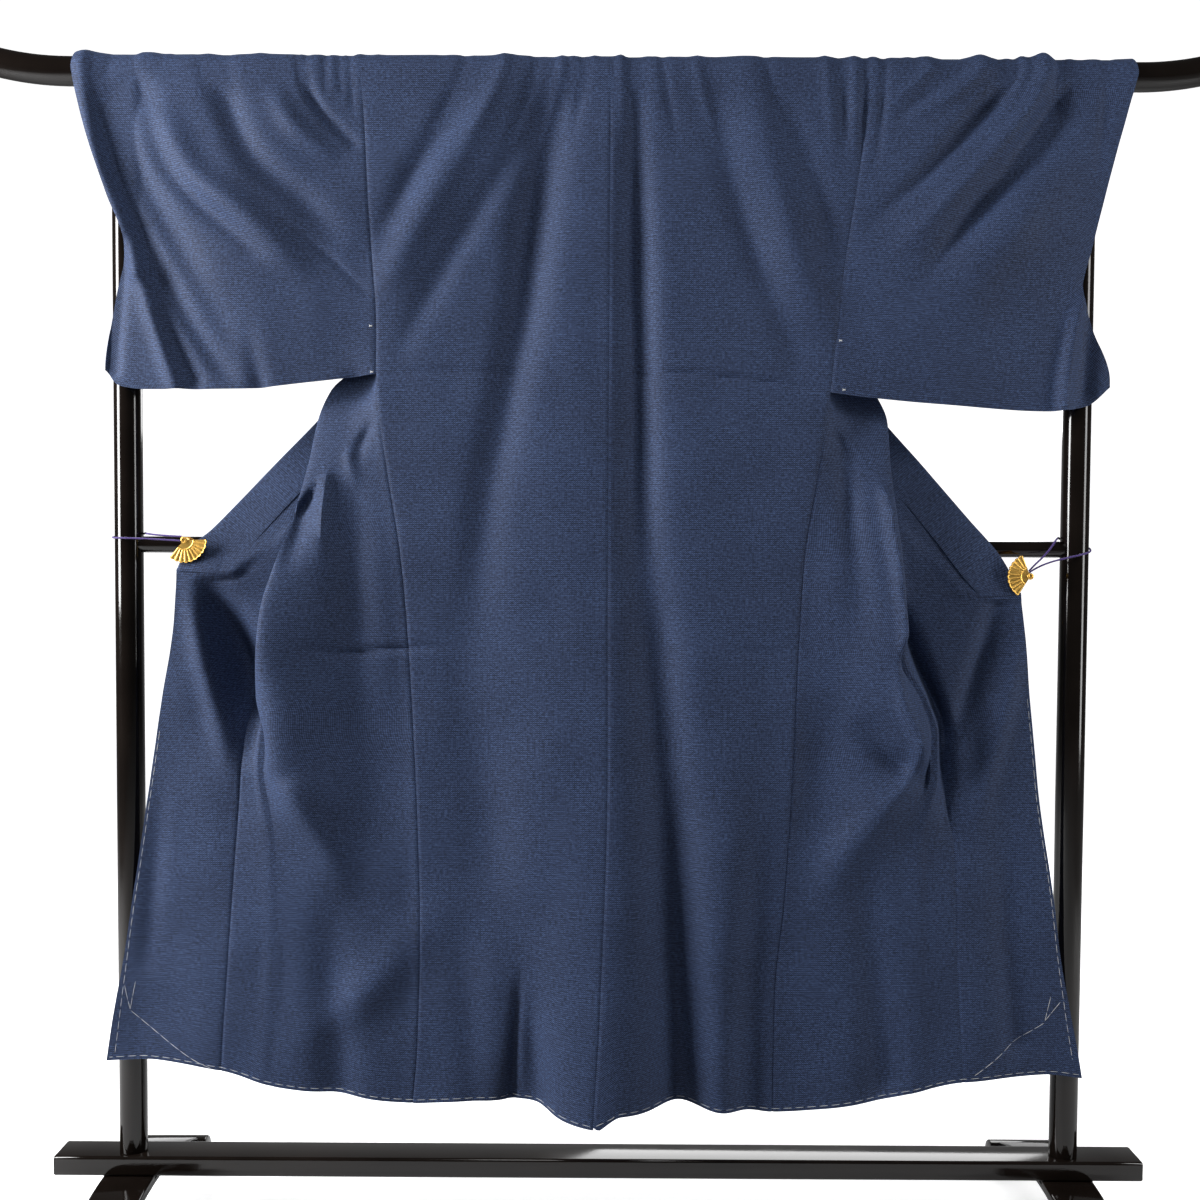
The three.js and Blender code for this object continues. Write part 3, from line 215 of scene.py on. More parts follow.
# Broad folds of the back: width, [z, x] centre line, [z, depth].
BACK_FOLDS = {
    "left": [
        (34, [[1540, -66], [1190, -112]], [[1560, 0], [1500, 5], [1300, 4], [1150, 0]]),
        (42, [[420, -88], [HEM_Z, -104]], [[480, 0], [300, 16], [HEM_Z, 38]]),
    ],
    "right": [
        (34, [[1400, 32], [1134, 38], [870, 62], [600, 86], [HEM_Z, 108]],
         [[1500, 0], [1350, 7], [1134, 11], [870, 17], [600, 26], [HEM_Z, 36]]),
    ],
}
SLEEVE = {
    "left": {
        "outer": [[1592, 709], [1532, 697], [1401, 655], [SLEEVE_OPEN_Z, 634], [1271, 648], [1175, 663], [1140, 664]],
        "bottom": [[0, 1168], [0.25, 1157], [0.5, 1148], [0.86, 1147], [0.94, 1151], [1, 1172]],
        "far_outer": [[1592, 708], [1530, 692], [1490, 652], [1455, 619], [1400, 612], [1368, 614],
                      [SLEEVE_OPEN_Z, 634], [1271, 648], [1175, 663], [1140, 664]],
        "far_outer_y": [[1573, 20.6], [1530, 26], [1490, 30], [1455, 26], [1400, 2], [1368, -16],
                        [SLEEVE_OPEN_Z, -25.2]],
        "folds": [
            (17, [[1570, 694], [1541, 684], [1400, 634], [1272, 571], [1146, 489]],
             [[1570, 0], [1500, 8], [1300, 11], [1180, 6], [1146, 0]]),
            (20, [[1570, 622], [1440, 574], [1328, 462]], [[1570, 0], [1530, 7], [1400, 9], [1300, 0]]),
        ],
    },
    "right": {
        "outer": [[1592, 712], [1442, 672], [1334, 646], [1288, 636], [1231, 652], [1164, 674], [1130, 674]],
        "bottom": [[0, 1147], [0.16, 1140], [0.45, 1131], [0.8, 1124], [0.92, 1131], [1, 1156]],
        "far_outer": [[1592, 711], [1530, 692], [1490, 652], [1455, 619], [1400, 612], [1340, 614], [1288, 636],
                      [1231, 652], [1164, 674], [1130, 674]],
        "far_outer_y": [[1573, 20.6], [1530, 26], [1490, 30], [1455, 26], [1400, 2], [1350, -16], [1288, -25.2]],
        "folds": [
            (17, [[1580, 640], [1480, 588], [1395, 508], [1330, 450]], [[1575, 0], [1500, 9], [1400, 10], [1310, 0]]),
            (18, [[1585, 560], [1520, 506], [1400, 404]], [[1570, 0], [1510, 7], [1380, 0]]),
        ],
    },
}
NEAR_OUTER_Y = [[1573, -20.6], [1500, -26], [SLEEVE_OPEN_Z, -28.6], [1120, -29]]

# Creases of the layers that face -Y: width, then points (x, z, depth away from the eye; a ridge is negative).
SLEEVE_CREASES = [
    (20, [(-642, 1565, 4), (-631, 1461, 6), (-588, 1379, 5), (-536, 1291, 3), (-487, 1190, 1)]),
    (22, [(-600, 1526, -1), (-544, 1431, -6), (-465, 1370, -7), (-386, 1292, -1)]),
    (18, [(-517, 1571, 4), (-472, 1462, 6), (-402, 1397, 5), (-340, 1336, 0)]),
    (14, [(-444, 1553, 0), (-415, 1501, -4), (-385, 1475, -3), (-349, 1450, 0)]),
    (7, [(-406, 1592, 4), (-385, 1528, 4.5), (-332, 1472, 2)]),
    (4, [(-372, 1595, 2.5), (-368, 1541, 0.5)]),
    (4, [(-353, 1595, 3), (-348, 1541, 1)]),
    (4, [(-340, 1596, 3), (-333, 1515, 0.5)]),
    (12, [(-692, 1578, -4), (-671, 1461, -5), (-641, 1376, -4), (-615, 1300, -4)]),
    (11, [(-615, 1300, -3), (-593, 1234, -5), (-567, 1152, -4)]),
    (12, [(-595, 1278, 0), (-574, 1225, 3), (-543, 1159, 4)]),
    (5, [(-412, 1361, 0), (-363, 1321, 1.6), (-314, 1275, 0.5)]),
    (12, [(-473, 1243, 0), (-456, 1153, 3)]),
    (10, [(-631, 1343, 2), (-645, 1264, 6), (-653, 1172, 6)]),
    (16, [(622, 1588, 6), (596, 1533, 8), (550, 1465, 7), (504, 1402, 5), (457, 1339, 3), (415, 1286, 1)]),
    (14, [(588, 1588, -7), (572, 1538, -7), (529, 1481, -6), (456, 1402, -5), (393, 1338, -1)]),
    (12, [(545, 1588, 5), (519, 1538, 6), (481, 1496, 5), (418, 1428, 4), (356, 1370, 1)]),
    (9, [(514, 1588, -5), (466, 1543, -4), (412, 1516, -1)]),
    (8, [(482, 1590, 4), (436, 1550, 3), (386, 1506, 0.5)]),
    (6, [(450, 1592, -3), (420, 1564, -2.4), (384, 1532, -0.5)]),
    (6, [(561, 1590, -3), (550, 1560, -2), (533, 1526, 0)]),
    (34, [(578, 1416, -3), (539, 1363, -7), (493, 1304, -4), (448, 1231, 0)]),
    (8, [(669, 1583, 2.5), (663, 1518, 2), (654, 1442, 0.5)]),
    (9, [(641, 1292, 1), (625, 1236, -5), (614, 1171, -6), (612, 1127, -6)]),
    (14, [(649, 1271, 1), (645, 1219, 4), (641, 1146, 5)]),
]
BACK_CREASES = [
    (5, [(315, 1593, 3), (318, 1515, 2), (321, 1464, 0.3)]),
    (5, [(332, 1593, -2.5), (333, 1516, -2), (334, 1464, -0.3)]),
    (5, [(345, 1593, 3), (344, 1516, 2.4), (339, 1451, 0.3)]),
    (5, [(372, 1593, 3), (368, 1516, 2), (358, 1438, 0.3)]),
    (18, [(39, 1566, 4), (44, 1423, 7), (50, 1240, 7), (54, 1080, 5), (58, 940, 1)]),
    (6, [(-22, 1592, 2.5), (-30, 1540, 2), (-42, 1486, 0.3)]),
    (6, [(-52, 1592, -2.5), (-66, 1535, -2), (-88, 1470, -0.3)]),
    (5, [(-84, 1592, 2.2), (-104, 1532, 1.8), (-134, 1462, 0.2)]),
    (7, [(-126, 1592, -2.2), (-152, 1530, -2), (-190, 1460, -0.2)]),
    (5, [(-176, 1592, 2), (-205, 1536, 1.6), (-238, 1484, 0.2)]),
    (6, [(22, 1592, -2.5), (26, 1532, -2), (30, 1470, -0.3)]),
    (5, [(74, 1592, 2.2), (84, 1534, 1.8), (98, 1478, 0.2)]),
    (6, [(118, 1592, -2.2), (134, 1530, -1.8), (152, 1472, -0.2)]),
    (6, [(208, 1592, 2.2), (226, 1534, 1.8), (250, 1470, 0.2)]),
    (6, [(292, 1592, -2.4), (298, 1530, -2), (306, 1462, -0.2)]),
    (26, [(-60, 1556, 2), (-83, 1422, 8), (-107, 1239, 8), (-144, 1054, 6), (-162, 922, 3), (-170, 800, 0)]),
    (24, [(-133, 1556, -2), (-225, 1403, -6), (-275, 1310, -4), (-292, 1264, -1)]),
    (16, [(-177, 1551, 1), (-249, 1441, 4), (-288, 1362, 2)]),
    (16, [(-85, 1513, 1), (-176, 1370, 4), (-249, 1238, 2), (-275, 1172, 0)]),
    (24, [(186, 1566, -2), (243, 1363, -6), (280, 1268, -4), (307, 1215, -1)]),
    (16, [(230, 1554, 1), (285, 1411, 4), (309, 1333, 2)]),
    (18, [(145, 1540, 1), (186, 1372, 4), (247, 1215, 2), (262, 1136, 0)]),
    (3, [(-280, 1170, 0.5), (-176, 1172, 1.5), (-51, 1171, 0.8)]),
    (3, [(23, 1172, 0.8), (102, 1171, 1.7), (178, 1164, 2), (301, 1152, 1)]),
    (4, [(-385, 805, 0.6), (-335, 798, 2.2), (-285, 803, 2.6), (-233, 805, 1.6), (-200, 804, 0.3)]),
    (3, [(-82, 830, 0.1), (-62, 830, 0.9), (-44, 830, 0.1)]),
    (3.5, [(165, 803, 0.2), (212, 801, 1), (259, 801, 0.2)]),
    (7, [(-104, 383, 0), (-112, 297, 3.5), (-118, 199, 5)]),
    (16, [(-91, 349, 0), (-85, 274, 4), (-76, 178, 5)]),
    (26, [(-188, 464, 0), (-174, 328, 3), (-166, 192, 5)]),
    (40, [(179, 736, 0), (174, 534, -5), (170, 330, -7), (167, 193, -8)]),
    (26, [(221, 575, 0), (203, 412, 4), (197, 194, 7)]),
    (46, [(-175, 922, 0), (-164, 708, 4), (-150, 519, 5), (-134, 356, 1)]),
]
FRONT_CREASES = [
    (7, [(-369, 1124, -3), (-370, 1065, -7), (-370, 1000, -5), (-369, 920, -1)]),
    (13, [(-386, 1112, 2), (-392, 1039, 8), (-402, 960, 6), (-414, 900, 0)]),
    (14, [(-329, 1157, 3), (-332, 1118, 6), (-336, 1078, 2)]),
    (8, [(-348, 1131, -1), (-342, 1078, -4), (-329, 1026, -1)]),
    (7, [(-303, 1141, 0), (-316, 1092, 3), (-329, 1046, 0)]),
    (22, [(-332, 1039, 1), (-330, 921, 5), (-322, 802, 3), (-311, 656, 0)]),
    (16, [(-546, 900, -3), (-535, 814, -6), (-515, 721, -5), (-492, 628, -1)]),
    (25, [(-552, 905, 2), (-522, 862, 9), (-494, 806, 17), (-474, 742, 17), (-466, 694, 8), (-466, 640, 0)]),
    (4, [(-517, 893, 1), (-493, 896, 1.4), (-469, 907, 0.4)]),
    (5, [(-372, 815, 0.5), (-363, 799, 2), (-351, 787, 0.5)]),
    (20, [(-415, 635, 0), (-402, 602, -5), (-359, 535, -3), (-330, 461, 0)]),
    (30, [(-233, 442, -1), (-293, 360, -5), (-346, 306, -4), (-400, 251, -1)]),
    (28, [(-359, 495, 0), (-357, 360, 5), (-352, 204, 7)]),
    (14, [(-585, 654, 0), (-602, 493, 2.5), (-614, 358, 1)]),
    (9, [(371, 1107, -3), (378, 1004, -6), (392, 898, -6), (400, 831, -5), (394, 779, -3), (399, 733, -4),
         (420, 686, -5), (414, 641, -4), (378, 598, -1)]),
    (22, [(340, 716, 0), (372, 674, 6), (398, 652, 9), (424, 636, 6), (442, 620, 0)]),
    (11, [(398, 880, 0), (424, 800, 6), (449, 724, 10), (459, 668, 9), (462, 600, 3), (466, 540, 0)]),
    (6, [(395, 885, 2), (422, 799, 5), (459, 720, 6), (466, 687, 3)]),
    (14, [(533, 880, 2), (514, 800, 6), (496, 740, 6), (470, 689, 2)]),
    (4, [(484, 899, 0.2), (493, 895, 1.2), (513, 886, 0.3)]),
    (16, [(566, 847, -1), (542, 740, -5), (517, 634, -4), (499, 540, 0)]),
    (26, [(346, 552, 0), (363, 432, 4), (382, 215, 6)]),
    (22, [(545, 580, 0), (550, 446, 4), (564, 243, 5)]),
    (16, [(318, 1108, 1), (329, 1004, 5), (339, 885, 2), (342, 806, 0)]),
    (24, [(372, 586, -3), (332, 539, -4), (293, 472, -1)]),
]
NEAR_CREASES = SLEEVE_CREASES + BACK_CREASES + FRONT_CREASES
FAR_CREASES = SLEEVE_CREASES + BACK_CREASES[4:22]

# Small gathers where the cloth passes over the rail: x of each.
RAIL_GATHERS = [-617, -404, -326, -42, -14, 20, 322, 339, 357, 404, 420, 536, 552, 582, 620]

CLIP = {
    "left": {"x": -557, "z": 946, "from": -131, "to": 2, "fan_y": -32.4, "jaw_y": -14.6},
    "right": {"x": 571, "z": 904, "from": 111, "to": 239, "fan_y": -35.5, "jaw_y": -21.5},
}
FAN = {"radius": 30.5, "thick": 2, "pleats": 10, "pleat_columns": 24, "hub_radius": 4.5, "hub_height": 1.6,
       "loop_radius": 2.6, "wire": 0.55}
CORD_RADIUS = 1.4
CORD_ROUTE = {
    "left": [(-562.2, -24, 945), (-580, -23.5, 946), (-610, -22.4, 947.5), (-630, -21.4, 948), (-642, -20.8, 948.3),
             (-656.7, -14.7, 948.8), (-662.8, 0, 949.8), (-656.7, 14.7, 951.2), (-642, 20.8, 953),
             (-628, 15.6, 954.6), (-620.6, 1, 955.4), (-614, -10, 954.6), (-600, -17.5, 953), (-580, -22.5, 951.6),
             (-562, -26, 950.8)],
    "right": [(572, -28, 909.2), (580, -27, 914), (592, -24.8, 919.5), (607, -22.8, 924.5), (628, -21.4, 929.6),
              (642, -20.8, 932.8), (656.7, -14.7, 936.8), (662.8, 0, 941.5), (656.7, 14.7, 946.5),
              (642, 20.8, 951), (628, 15.6, 954.6), (620.6, 1, 956), (613.5, -9, 952.6), (605, -17, 943.5),
              (593, -20.6, 930.5), (581.5, -23, 920), (573, -23.5, 911.2)],
}

# White threads: the arrow at each hem corner and the line that leaves it, as (x, z).
ARROWS = {
    "left": [[(-643, 344), (-636, 310)], [(-628, 349), (-636, 310)],
             [(-635, 308), (-608, 286), (-554, 249), (-512, 231)]],
    "right": [[(612, 335), (605, 301)], [(626, 328), (605, 301)], [(604, 298), (577, 280), (530, 248), (490, 221)]],
}
ARMHOLE_STITCHES = {"left": [(-308, 1231), (-306, 1170)], "right": [(315, 1215), (320, 1150)]}

# Stitch and gap of each line of thread.
STITCH = {"edge": (13, 3), "hem": (12, 4), "arrow": (22, 0.3), "line": (16, 1.2), "tack": (5, 9)}
EDGE_THREAD_TOP = {"left": 690, "right": 740}
TACK_RADIUS = 0.55

# ---- the stage, in metres ----

CAMERA = {"place": (-0.002, -1.70, 0.93), "pitch": 2.09, "roll": 0.33}

# Soft boxes: place, target, size and the setting that holds the power.
LIGHTS = {
    "left_box": ((-2.2, -0.75, 1.5), (-0.3, 0, 0.95), (0.7, 1.5), "key_power"),
    "right_box": ((2.1, -0.8, 1.2), (0.3, 0, 0.9), (0.5, 1.6), "fill_power"),
    "overhead": ((-0.1, -1.7, 3.1), (0, 0, 0.8), (0.8, 0.8), "top_power"),
    "rear_box": ((0.7, 2.5, 2.0), (0, 0, 0.9), (1.6, 1.4), "rear_power"),
}


# ---- small helpers ----

def lerp(a, b, t):
    """a + (b - a) t."""
    return a + (b - a) * t


def smooth(t):
    """3t^2 - 2t^3, with t held between 0 and 1."""
    t = np.clip(t, 0.0, 1.0)
    return t * t * (3 - 2 * t)


def fade(z, top, over):
    """0 above the height top, 1 from over below it."""
    return smooth((top - z) / over)


def stacked(*parts):
    """The parts, broadcast together, as the last axis of one array."""
    return np.stack(np.broadcast_arrays(*parts), -1)


def arc_lengths(path):
    """Length along the path up to each of its points."""
    return np.concatenate([[0], np.cumsum(np.linalg.norm(np.diff(path, axis=0), axis=1))])


def ring_angles(count):
    """count angles evenly round a circle."""
    return np.linspace(0, 2 * math.pi, count, endpoint=False)


def catmull(a, b, c, d, f):
    """The Catmull-Rom curve from b to c at share f, with a before and d after them."""
    return b + 0.5 * f * (c - a + f * (2 * a - 5 * b + 4 * c - d + f * (3 * (b - c) + d - a)))


def along(rows, key):
    """Monotone cubic through [key, value] rows: inner slopes are harmonic means of the chords' slopes."""
    k, v = np.array(sorted([r[0], r[1]] for r in rows), float).T
    key = np.clip(np.asarray(key, float), k[0], k[-1])
    step, rise = np.diff(k), np.diff(v)
    chord = rise / step
    slope = np.empty_like(k)
    slope[0], slope[-1] = chord[0], chord[-1]
    product = chord[:-1] * chord[1:]
    total = np.where(product > 0, chord[:-1] + chord[1:], 1.0)
    slope[1:-1] = np.where(product > 0, 2 * product / total, 0.0)
    i = np.clip(np.searchsorted(k, key, side="left") - 1, 0, len(step) - 1)
    t = (key - k[i]) / step[i]
    a, b = slope[i] * step[i], slope[i + 1] * step[i]
    return v[i] + a * t + (3 * rise[i] - 2 * a - b) * t**2 + (a + b - 2 * rise[i]) * t**3


def spline(points, count):
    """count points on the Catmull-Rom curve through the given points."""
    p = np.asarray(points, float)
    last = len(p) - 1
    t = np.linspace(0, last, count)
    i = np.minimum(last - 1, t.astype(int))
    return catmull(*(p[np.clip(i + k, 0, last)] for k in (-1, 0, 1, 2)), (t - i)[:, None])


def unit(v):
    """v over its length."""
    return v / np.maximum(np.linalg.norm(v, axis=-1, keepdims=True), 1e-12)


def bell_folds(folds, x, z):
    """Sum of bells exp(-((x - centre(z)) / width)^2) times depth(z)."""
    total = np.zeros(np.broadcast(x, z).shape)
    for width, line, depth in folds:
        total = total + along(depth, z) * np.exp(-(((x - along(line, z)) / width) ** 2))
    return total


def creases(rows, x, z):
    """Sum of soft troughs: the depth at the nearest point of each line times exp(-(distance / width)^2)."""
    shape = np.broadcast(x, z).shape
    px, pz = (np.broadcast_to(v, shape).ravel() for v in (x, z))
    total = np.zeros(px.size)
    for width, points in rows:
        line = spline(points, 8 * (len(points) - 1) + 1)
        reach = 3 * width
        low, high = line[:, :2].min(0) - reach, line[:, :2].max(0) + reach
        near = np.flatnonzero((px > low[0]) & (px < high[0]) & (pz > low[1]) & (pz < high[1]))
        if not near.size:
            continue
        a, b = line[:-1], line[1:]
        run = b[:, :2] - a[:, :2]
        ox = px[near, None] - a[None, :, 0]
        oz = pz[near, None] - a[None, :, 1]
        t = np.clip((ox * run[:, 0] + oz * run[:, 1]) / (run**2).sum(1), 0, 1)
        gap = (ox - t * run[:, 0]) ** 2 + (oz - t * run[:, 1]) ** 2
        best = gap.argmin(1)
        pick = np.arange(near.size)
        depth = a[best, 2] + t[pick, best] * (b[best, 2] - a[best, 2])
        total[near] += depth * np.exp(-gap[pick, best] / width**2)
    return total.reshape(shape)


def ripple(x, z, seed):
    """Sum of a few long low sine waves of seeded direction and phase, higher where they are longer."""
    rng = np.random.default_rng(seed)
    total = np.zeros(np.broadcast(x, z).shape)
    for length in (52, 67, 83, 110, 138, 175, 230):
        angle = rng.normal(0.0, 0.5)
        phase = rng.uniform(0, 2 * math.pi)
        total = total + 0.006 * length * np.sin(2 * math.pi * (x * math.cos(angle) + z * math.sin(angle)) / length
                                                + phase)
    return total


def near_relief(x, z):
    """Creases and ripples of the layers that face -Y. On the rail only what stands off it is left."""
    relief = (looks().crease_strength * creases(NEAR_CREASES, x, z)
              + RIPPLE["height"] * ripple(x, z, RIPPLE["near"]))
    start, over, kept, less = PRESSED["near"]
    return lerp(relief, np.minimum(kept * relief - less, 0), smooth((z - start) / over))


def far_relief(x, z):
    """The like of near_relief on the layers that face +Y: mirrored, a little lower down and softer."""
    strength = FAR_CREASE["depth"] * looks().crease_strength
    relief = (strength * creases(FAR_CREASES, FAR_CREASE["mirror"] * x, z + FAR_CREASE["lower"])
              + RIPPLE["height"] * ripple(x, z, RIPPLE["far"]))
    start, over, kept, _ = PRESSED["far"]
    return lerp(relief, kept * np.maximum(relief, 0), smooth((z - start) / over))


# ---- surfaces of the garment ----

def lifted(side, x, z):
    """z plus the hem's lift at x, which dies out LIFT_REACH above the hem."""
    return z + along(HEM_LIFT[side], x) * fade(z, HEM_Z + LIFT_REACH, LIFT_REACH)


def rolled(distance):
    """Depth by which a panel's edge rolls in at a seam: all of it at the seam, gone about 4 mm from it."""
    return SEAM_ROLL["depth"] * np.exp(-((distance / SEAM_ROLL["width"]) ** 2))


def back_points(side, u, z):
    """Back: x runs from the centre seam to the side, y from the centre's hang to the side's, plus folds."""
    centre = along(CENTRE_X, z) + SIGN[side] * SEAM_GAP / 2
    edge = SIGN[side] * along(SIDE[side], z)
    x = lerp(centre, edge, u)
    drop = lerp(along(CENTRE_Y, z), along(SIDE_Y, z), smooth(u**0.8))
    y = drop + bell_folds(BACK_FOLDS[side], x, z) * smooth((1 - u) * 6)
    seam = along(CENTRE_X, z)
    step = bell_folds(BACK_FOLDS["right"], seam, z) - bell_folds(BACK_FOLDS["left"], seam, z)
    y = y - SIGN[side] * step / 2 * np.exp(-(((x - centre) / 30) ** 2))
    y = y + near_relief(x, z) + rolled(np.abs(x - centre)) * fade(z, *OFF_RAIL)
    y = y + rolled(np.abs(edge - x)) * fade(z, *OFF_RAIL)
    return stacked(x, y, lifted(side, np.abs(x), z))


def over_rail(x, turn, lift):
    """Half a turn of radius CLOTH_OVER_RAIL plus lift round the rail, from its near side to its far side."""
    angle = math.pi * (1 - turn)
    radius = CLOTH_OVER_RAIL + lift
    return stacked(x, radius * np.cos(angle), RAIL_Z + radius * np.sin(angle))


def rail_lift(x, turn):
    """What stands off the rail: the near and far relief, carried over, and the small gathers."""
    near = -near_relief(x, np.full_like(x, RAIL_Z))
    far = far_relief(x, np.full_like(x, RAIL_Z))
    gathers = sum(np.exp(-(((x - g) / GATHER["width"]) ** 2)) for g in RAIL_GATHERS)
    return np.maximum(lerp(near, far, turn), 0) + GATHER["height"] * gathers * np.sin(math.pi * turn) ** 0.7


def collar_x(side, z, edge):
    """x of the collar's free or sewn edge at height z."""
    x, z_column = COLLAR_COLUMNS[edge + "X"], COLLAR_COLUMNS[edge + "Z"]
    return along([[row[z_column], row[x]] for row in COLLAR[side]], z)


def hang(side, name, z):
    """A column of the hang's table at height z."""
    return along([[row[0], row[HANG_COLUMNS[name]]] for row in HANG[side]], z)


def front_section(side, t, z):
    """Section of a front at height z: a smooth curve over side seam, valley, ridge and tuck, half a turn round
    the tuck, then straight to the overlap seam. t is the share from 0 at the side seam to 1."""
    ax, ay, rx, ry, tx, ty, ox, oy = (hang(side, name, z) for name in HANG_COLUMNS)
    edge_x = along(SIDE[side], z) - SEAM_TUCK * fade(z, *SIDE_SEAM_TUCK)
    s = np.clip(t / TUCK["from"], 0, 1) * 3
    i = np.minimum(2, s.astype(int))
    columns = np.arange(z.size).reshape(z.shape)

    def curve(*stations):
        flat = np.stack(np.broadcast_arrays(*stations)).reshape(4, -1)
        return catmull(*(flat[np.clip(i + k, 0, 3), columns] for k in (-1, 0, 1, 2)), s - i)

    turned = fade(z, SHOULDER_Z, TUCK["opens"]) * smooth((rx - tx) / TUCK["overlap"] - 0.5)
    share = np.clip((t - TUCK["from"]) / (TUCK["to"] - TUCK["from"]), 0, 1)
    sweep = np.sin(math.pi * share) * smooth((SHOULDER_Z - z) / TUCK["opens"] - 1)
    onward = np.sign(ox - tx) * TUCK["flat"] * share
    x = tx + lerp(onward, -TUCK["radius"] * sweep, turned)
    y = ty + TUCK["radius"] * (1 - np.cos(math.pi * share)) * turned
    past = np.clip((t - TUCK["to"]) / (1 - TUCK["to"]), 0, 1)
    before = t <= TUCK["from"]
    return (np.where(before, curve(edge_x, ax, rx, tx), lerp(x, ox, past)),
            np.where(before, curve(along(FRONT_SIDE_Y, z), ay, ry, ty), lerp(y, oy, past)))


def in_collar(side, x, z, lowest):
    """Share by which cloth at x is inside the collar; none below the lowest height."""
    inside = smooth((x - collar_x(side, z, "sewn") + COLLAR_ENTRY + COLLAR_MARGIN) / COLLAR_ENTRY)
    return np.where(z < lowest, 0.0, inside)


def into_collar(side, x, y, z):
    """Cloth inside the collar takes the collar's own y."""
    return lerp(y, along(COLLAR_Y[side], z), in_collar(side, x, z, COLLAR_END_Z[side]))


def below_collar(side, z):
    """How far the overlap seam has come out from under the collar's end."""
    return fade(z, COLLAR_END_Z[side] + COLLAR_FREE[0], COLLAR_FREE[1])


def front_relief(side, t, x, z):
    """Near relief where the front is seen from behind the garment, far relief above the armhole's end, none in
    the tuck and in the collar."""
    below = fade(z, *IN_VIEW)
    relief = lerp(far_relief(SIGN[side] * x, z), near_relief(SIGN[side] * x, z), below)
    strips = FRONT_STRIPS
    calm = (smooth((strips["calm_from"] - t) / strips["calm_over"])
            + smooth((t - strips["calm_to"]) / strips["calm_over"]) * below)
    covered = in_collar(side, x, z, COLLAR_END_Z[side] - 4)
    return relief * calm * (1 - covered) * fade(z, SHOULDER_Z, 60)


def front_points(side, t, z):
    """Front: its section, drawn into the collar above the collar's end, plus relief."""
    x, y = front_section(side, t, z)
    on_edge = smooth((z - COLLAR_TAKES_Z) / (SHOULDER_Z - TUCK["opens"] - COLLAR_TAKES_Z))
    hold = lerp(1, (t - TUCK["to"]) / (1 - TUCK["to"]), on_edge)
    held = lerp(y, into_collar(side, x, y, z), hold)
    y = np.where((t <= TUCK["to"]) | (z >= SHOULDER_Z), y, held)
    y = y + front_relief(side, t, x, z)
    edge_x, at_side = along(SIDE[side], z), t < FRONT_STRIPS["side"]
    apart = along(FRONT_SIDE_Y, z) - along(SIDE_Y, z) - looks().cloth_thickness - SEAM_GAP
    beside = np.exp(-(((x - edge_x) / FRONT_STRIPS["side_width"]) ** 2))
    y = y - apart * fade(z, ARMPIT_Z + 6, 10) * beside * at_side
    at_seam = (t > FRONT_STRIPS["seam"]) * below_collar(side, z)
    y = y + fade(z, *IN_VIEW) * (rolled(np.abs(x - edge_x)) * at_side + rolled(hang(side, "ox", z) - x) * at_seam)
    return np.stack([SIGN[side] * x, y, lifted(side, x, z)], -1)


def okumi_points(side, t, z):
    """Overlap panel: from its seam to the front edge, or to just inside the collar's free edge."""
    ox, oy = hang(side, "ox", z), hang(side, "oy", z)
    below = z < COLLAR_END_Z[side] + COLLAR_END_LAP
    edge_x = np.where(below, along(FRONT_EDGE[side], z), collar_x(side, z, "free") - 5)
    edge_y = np.where(below, along(FRONT_EDGE_Y, z), along(COLLAR_Y[side], z))
    x = lerp(ox + SEAM_GAP, edge_x, t)
    y = into_collar(side, x, lerp(oy, edge_y, smooth(t * 1.3)), z)
    y = y + front_relief(side, np.full_like(z, 1.0), x, z)
    y = y + rolled(x - ox - SEAM_GAP) * below_collar(side, z)
    return np.stack([SIGN[side] * x, y, lifted(side, x, z)], -1)


# ---- meshes ----

def make_object(name, vertices, faces, uv=None, sharp=50):
    """A mesh object from vertices in millimetres and faces; edges sharper than the angle stay sharp."""
    vertices = np.asarray(vertices, float) * MM
    mesh = bpy.data.meshes.new(name)
    mesh.from_pydata(vertices.tolist(), [], [list(face) for face in faces])
    if uv is not None:
        layer = mesh.uv_layers.new(name="Cloth")
        corners = np.empty(len(mesh.loops), np.int32)
        mesh.loops.foreach_get("vertex_index", corners)
        layer.data.foreach_set("uv", np.asarray(uv, np.float32)[corners].ravel())
    mesh.polygons.foreach_set("use_smooth", np.ones(len(mesh.polygons), bool))
    mesh.set_sharp_from_angle(angle=math.radians(sharp))
    mesh.validate()
    mesh.update()
    made = bpy.data.objects.new(name, mesh)
    bpy.context.scene.collection.objects.link(made)
    return made


def outward(vertices, faces):
    """The faces, reversed where the closed mesh's signed volume, the sum of a . (b x c) / 6, is negative."""
    faces = np.asarray(faces)
    a, b, c, d = (vertices[faces[:, k]] for k in range(4))
    volume = (a * np.cross(b, c)).sum() + (a * np.cross(c, d)).sum()
    return faces if volume > 0 else faces[:, ::-1]


def grid_quads(rows, columns, closed=False):
    """Quads of a grid of rows x columns points, joined round its columns where closed."""
    spans = columns if closed else columns - 1
    i, j = np.meshgrid(np.arange(rows - 1), np.arange(spans), indexing="ij")
    after = (j + 1) % columns
    return np.stack([i * columns + j, (i + 1) * columns + j, (i + 1) * columns + after, i * columns + after],
                    -1).reshape(-1, 4)


def grid_normals(grid, closed=False):
    """Cross product of the bisected directions down and across at each point."""
    down = np.zeros_like(grid)
    step = unit(np.diff(grid, axis=0))
    down[:-1] += step
    down[1:] += step
    if closed:
        step = unit(np.roll(grid, -1, axis=1) - grid)
        across = step + np.roll(step, 1, axis=1)
    else:
        across = np.zeros_like(grid)
        step = unit(np.diff(grid, axis=1))
        across[:, :-1] += step
        across[:, 1:] += step
    return unit(np.cross(down, across))


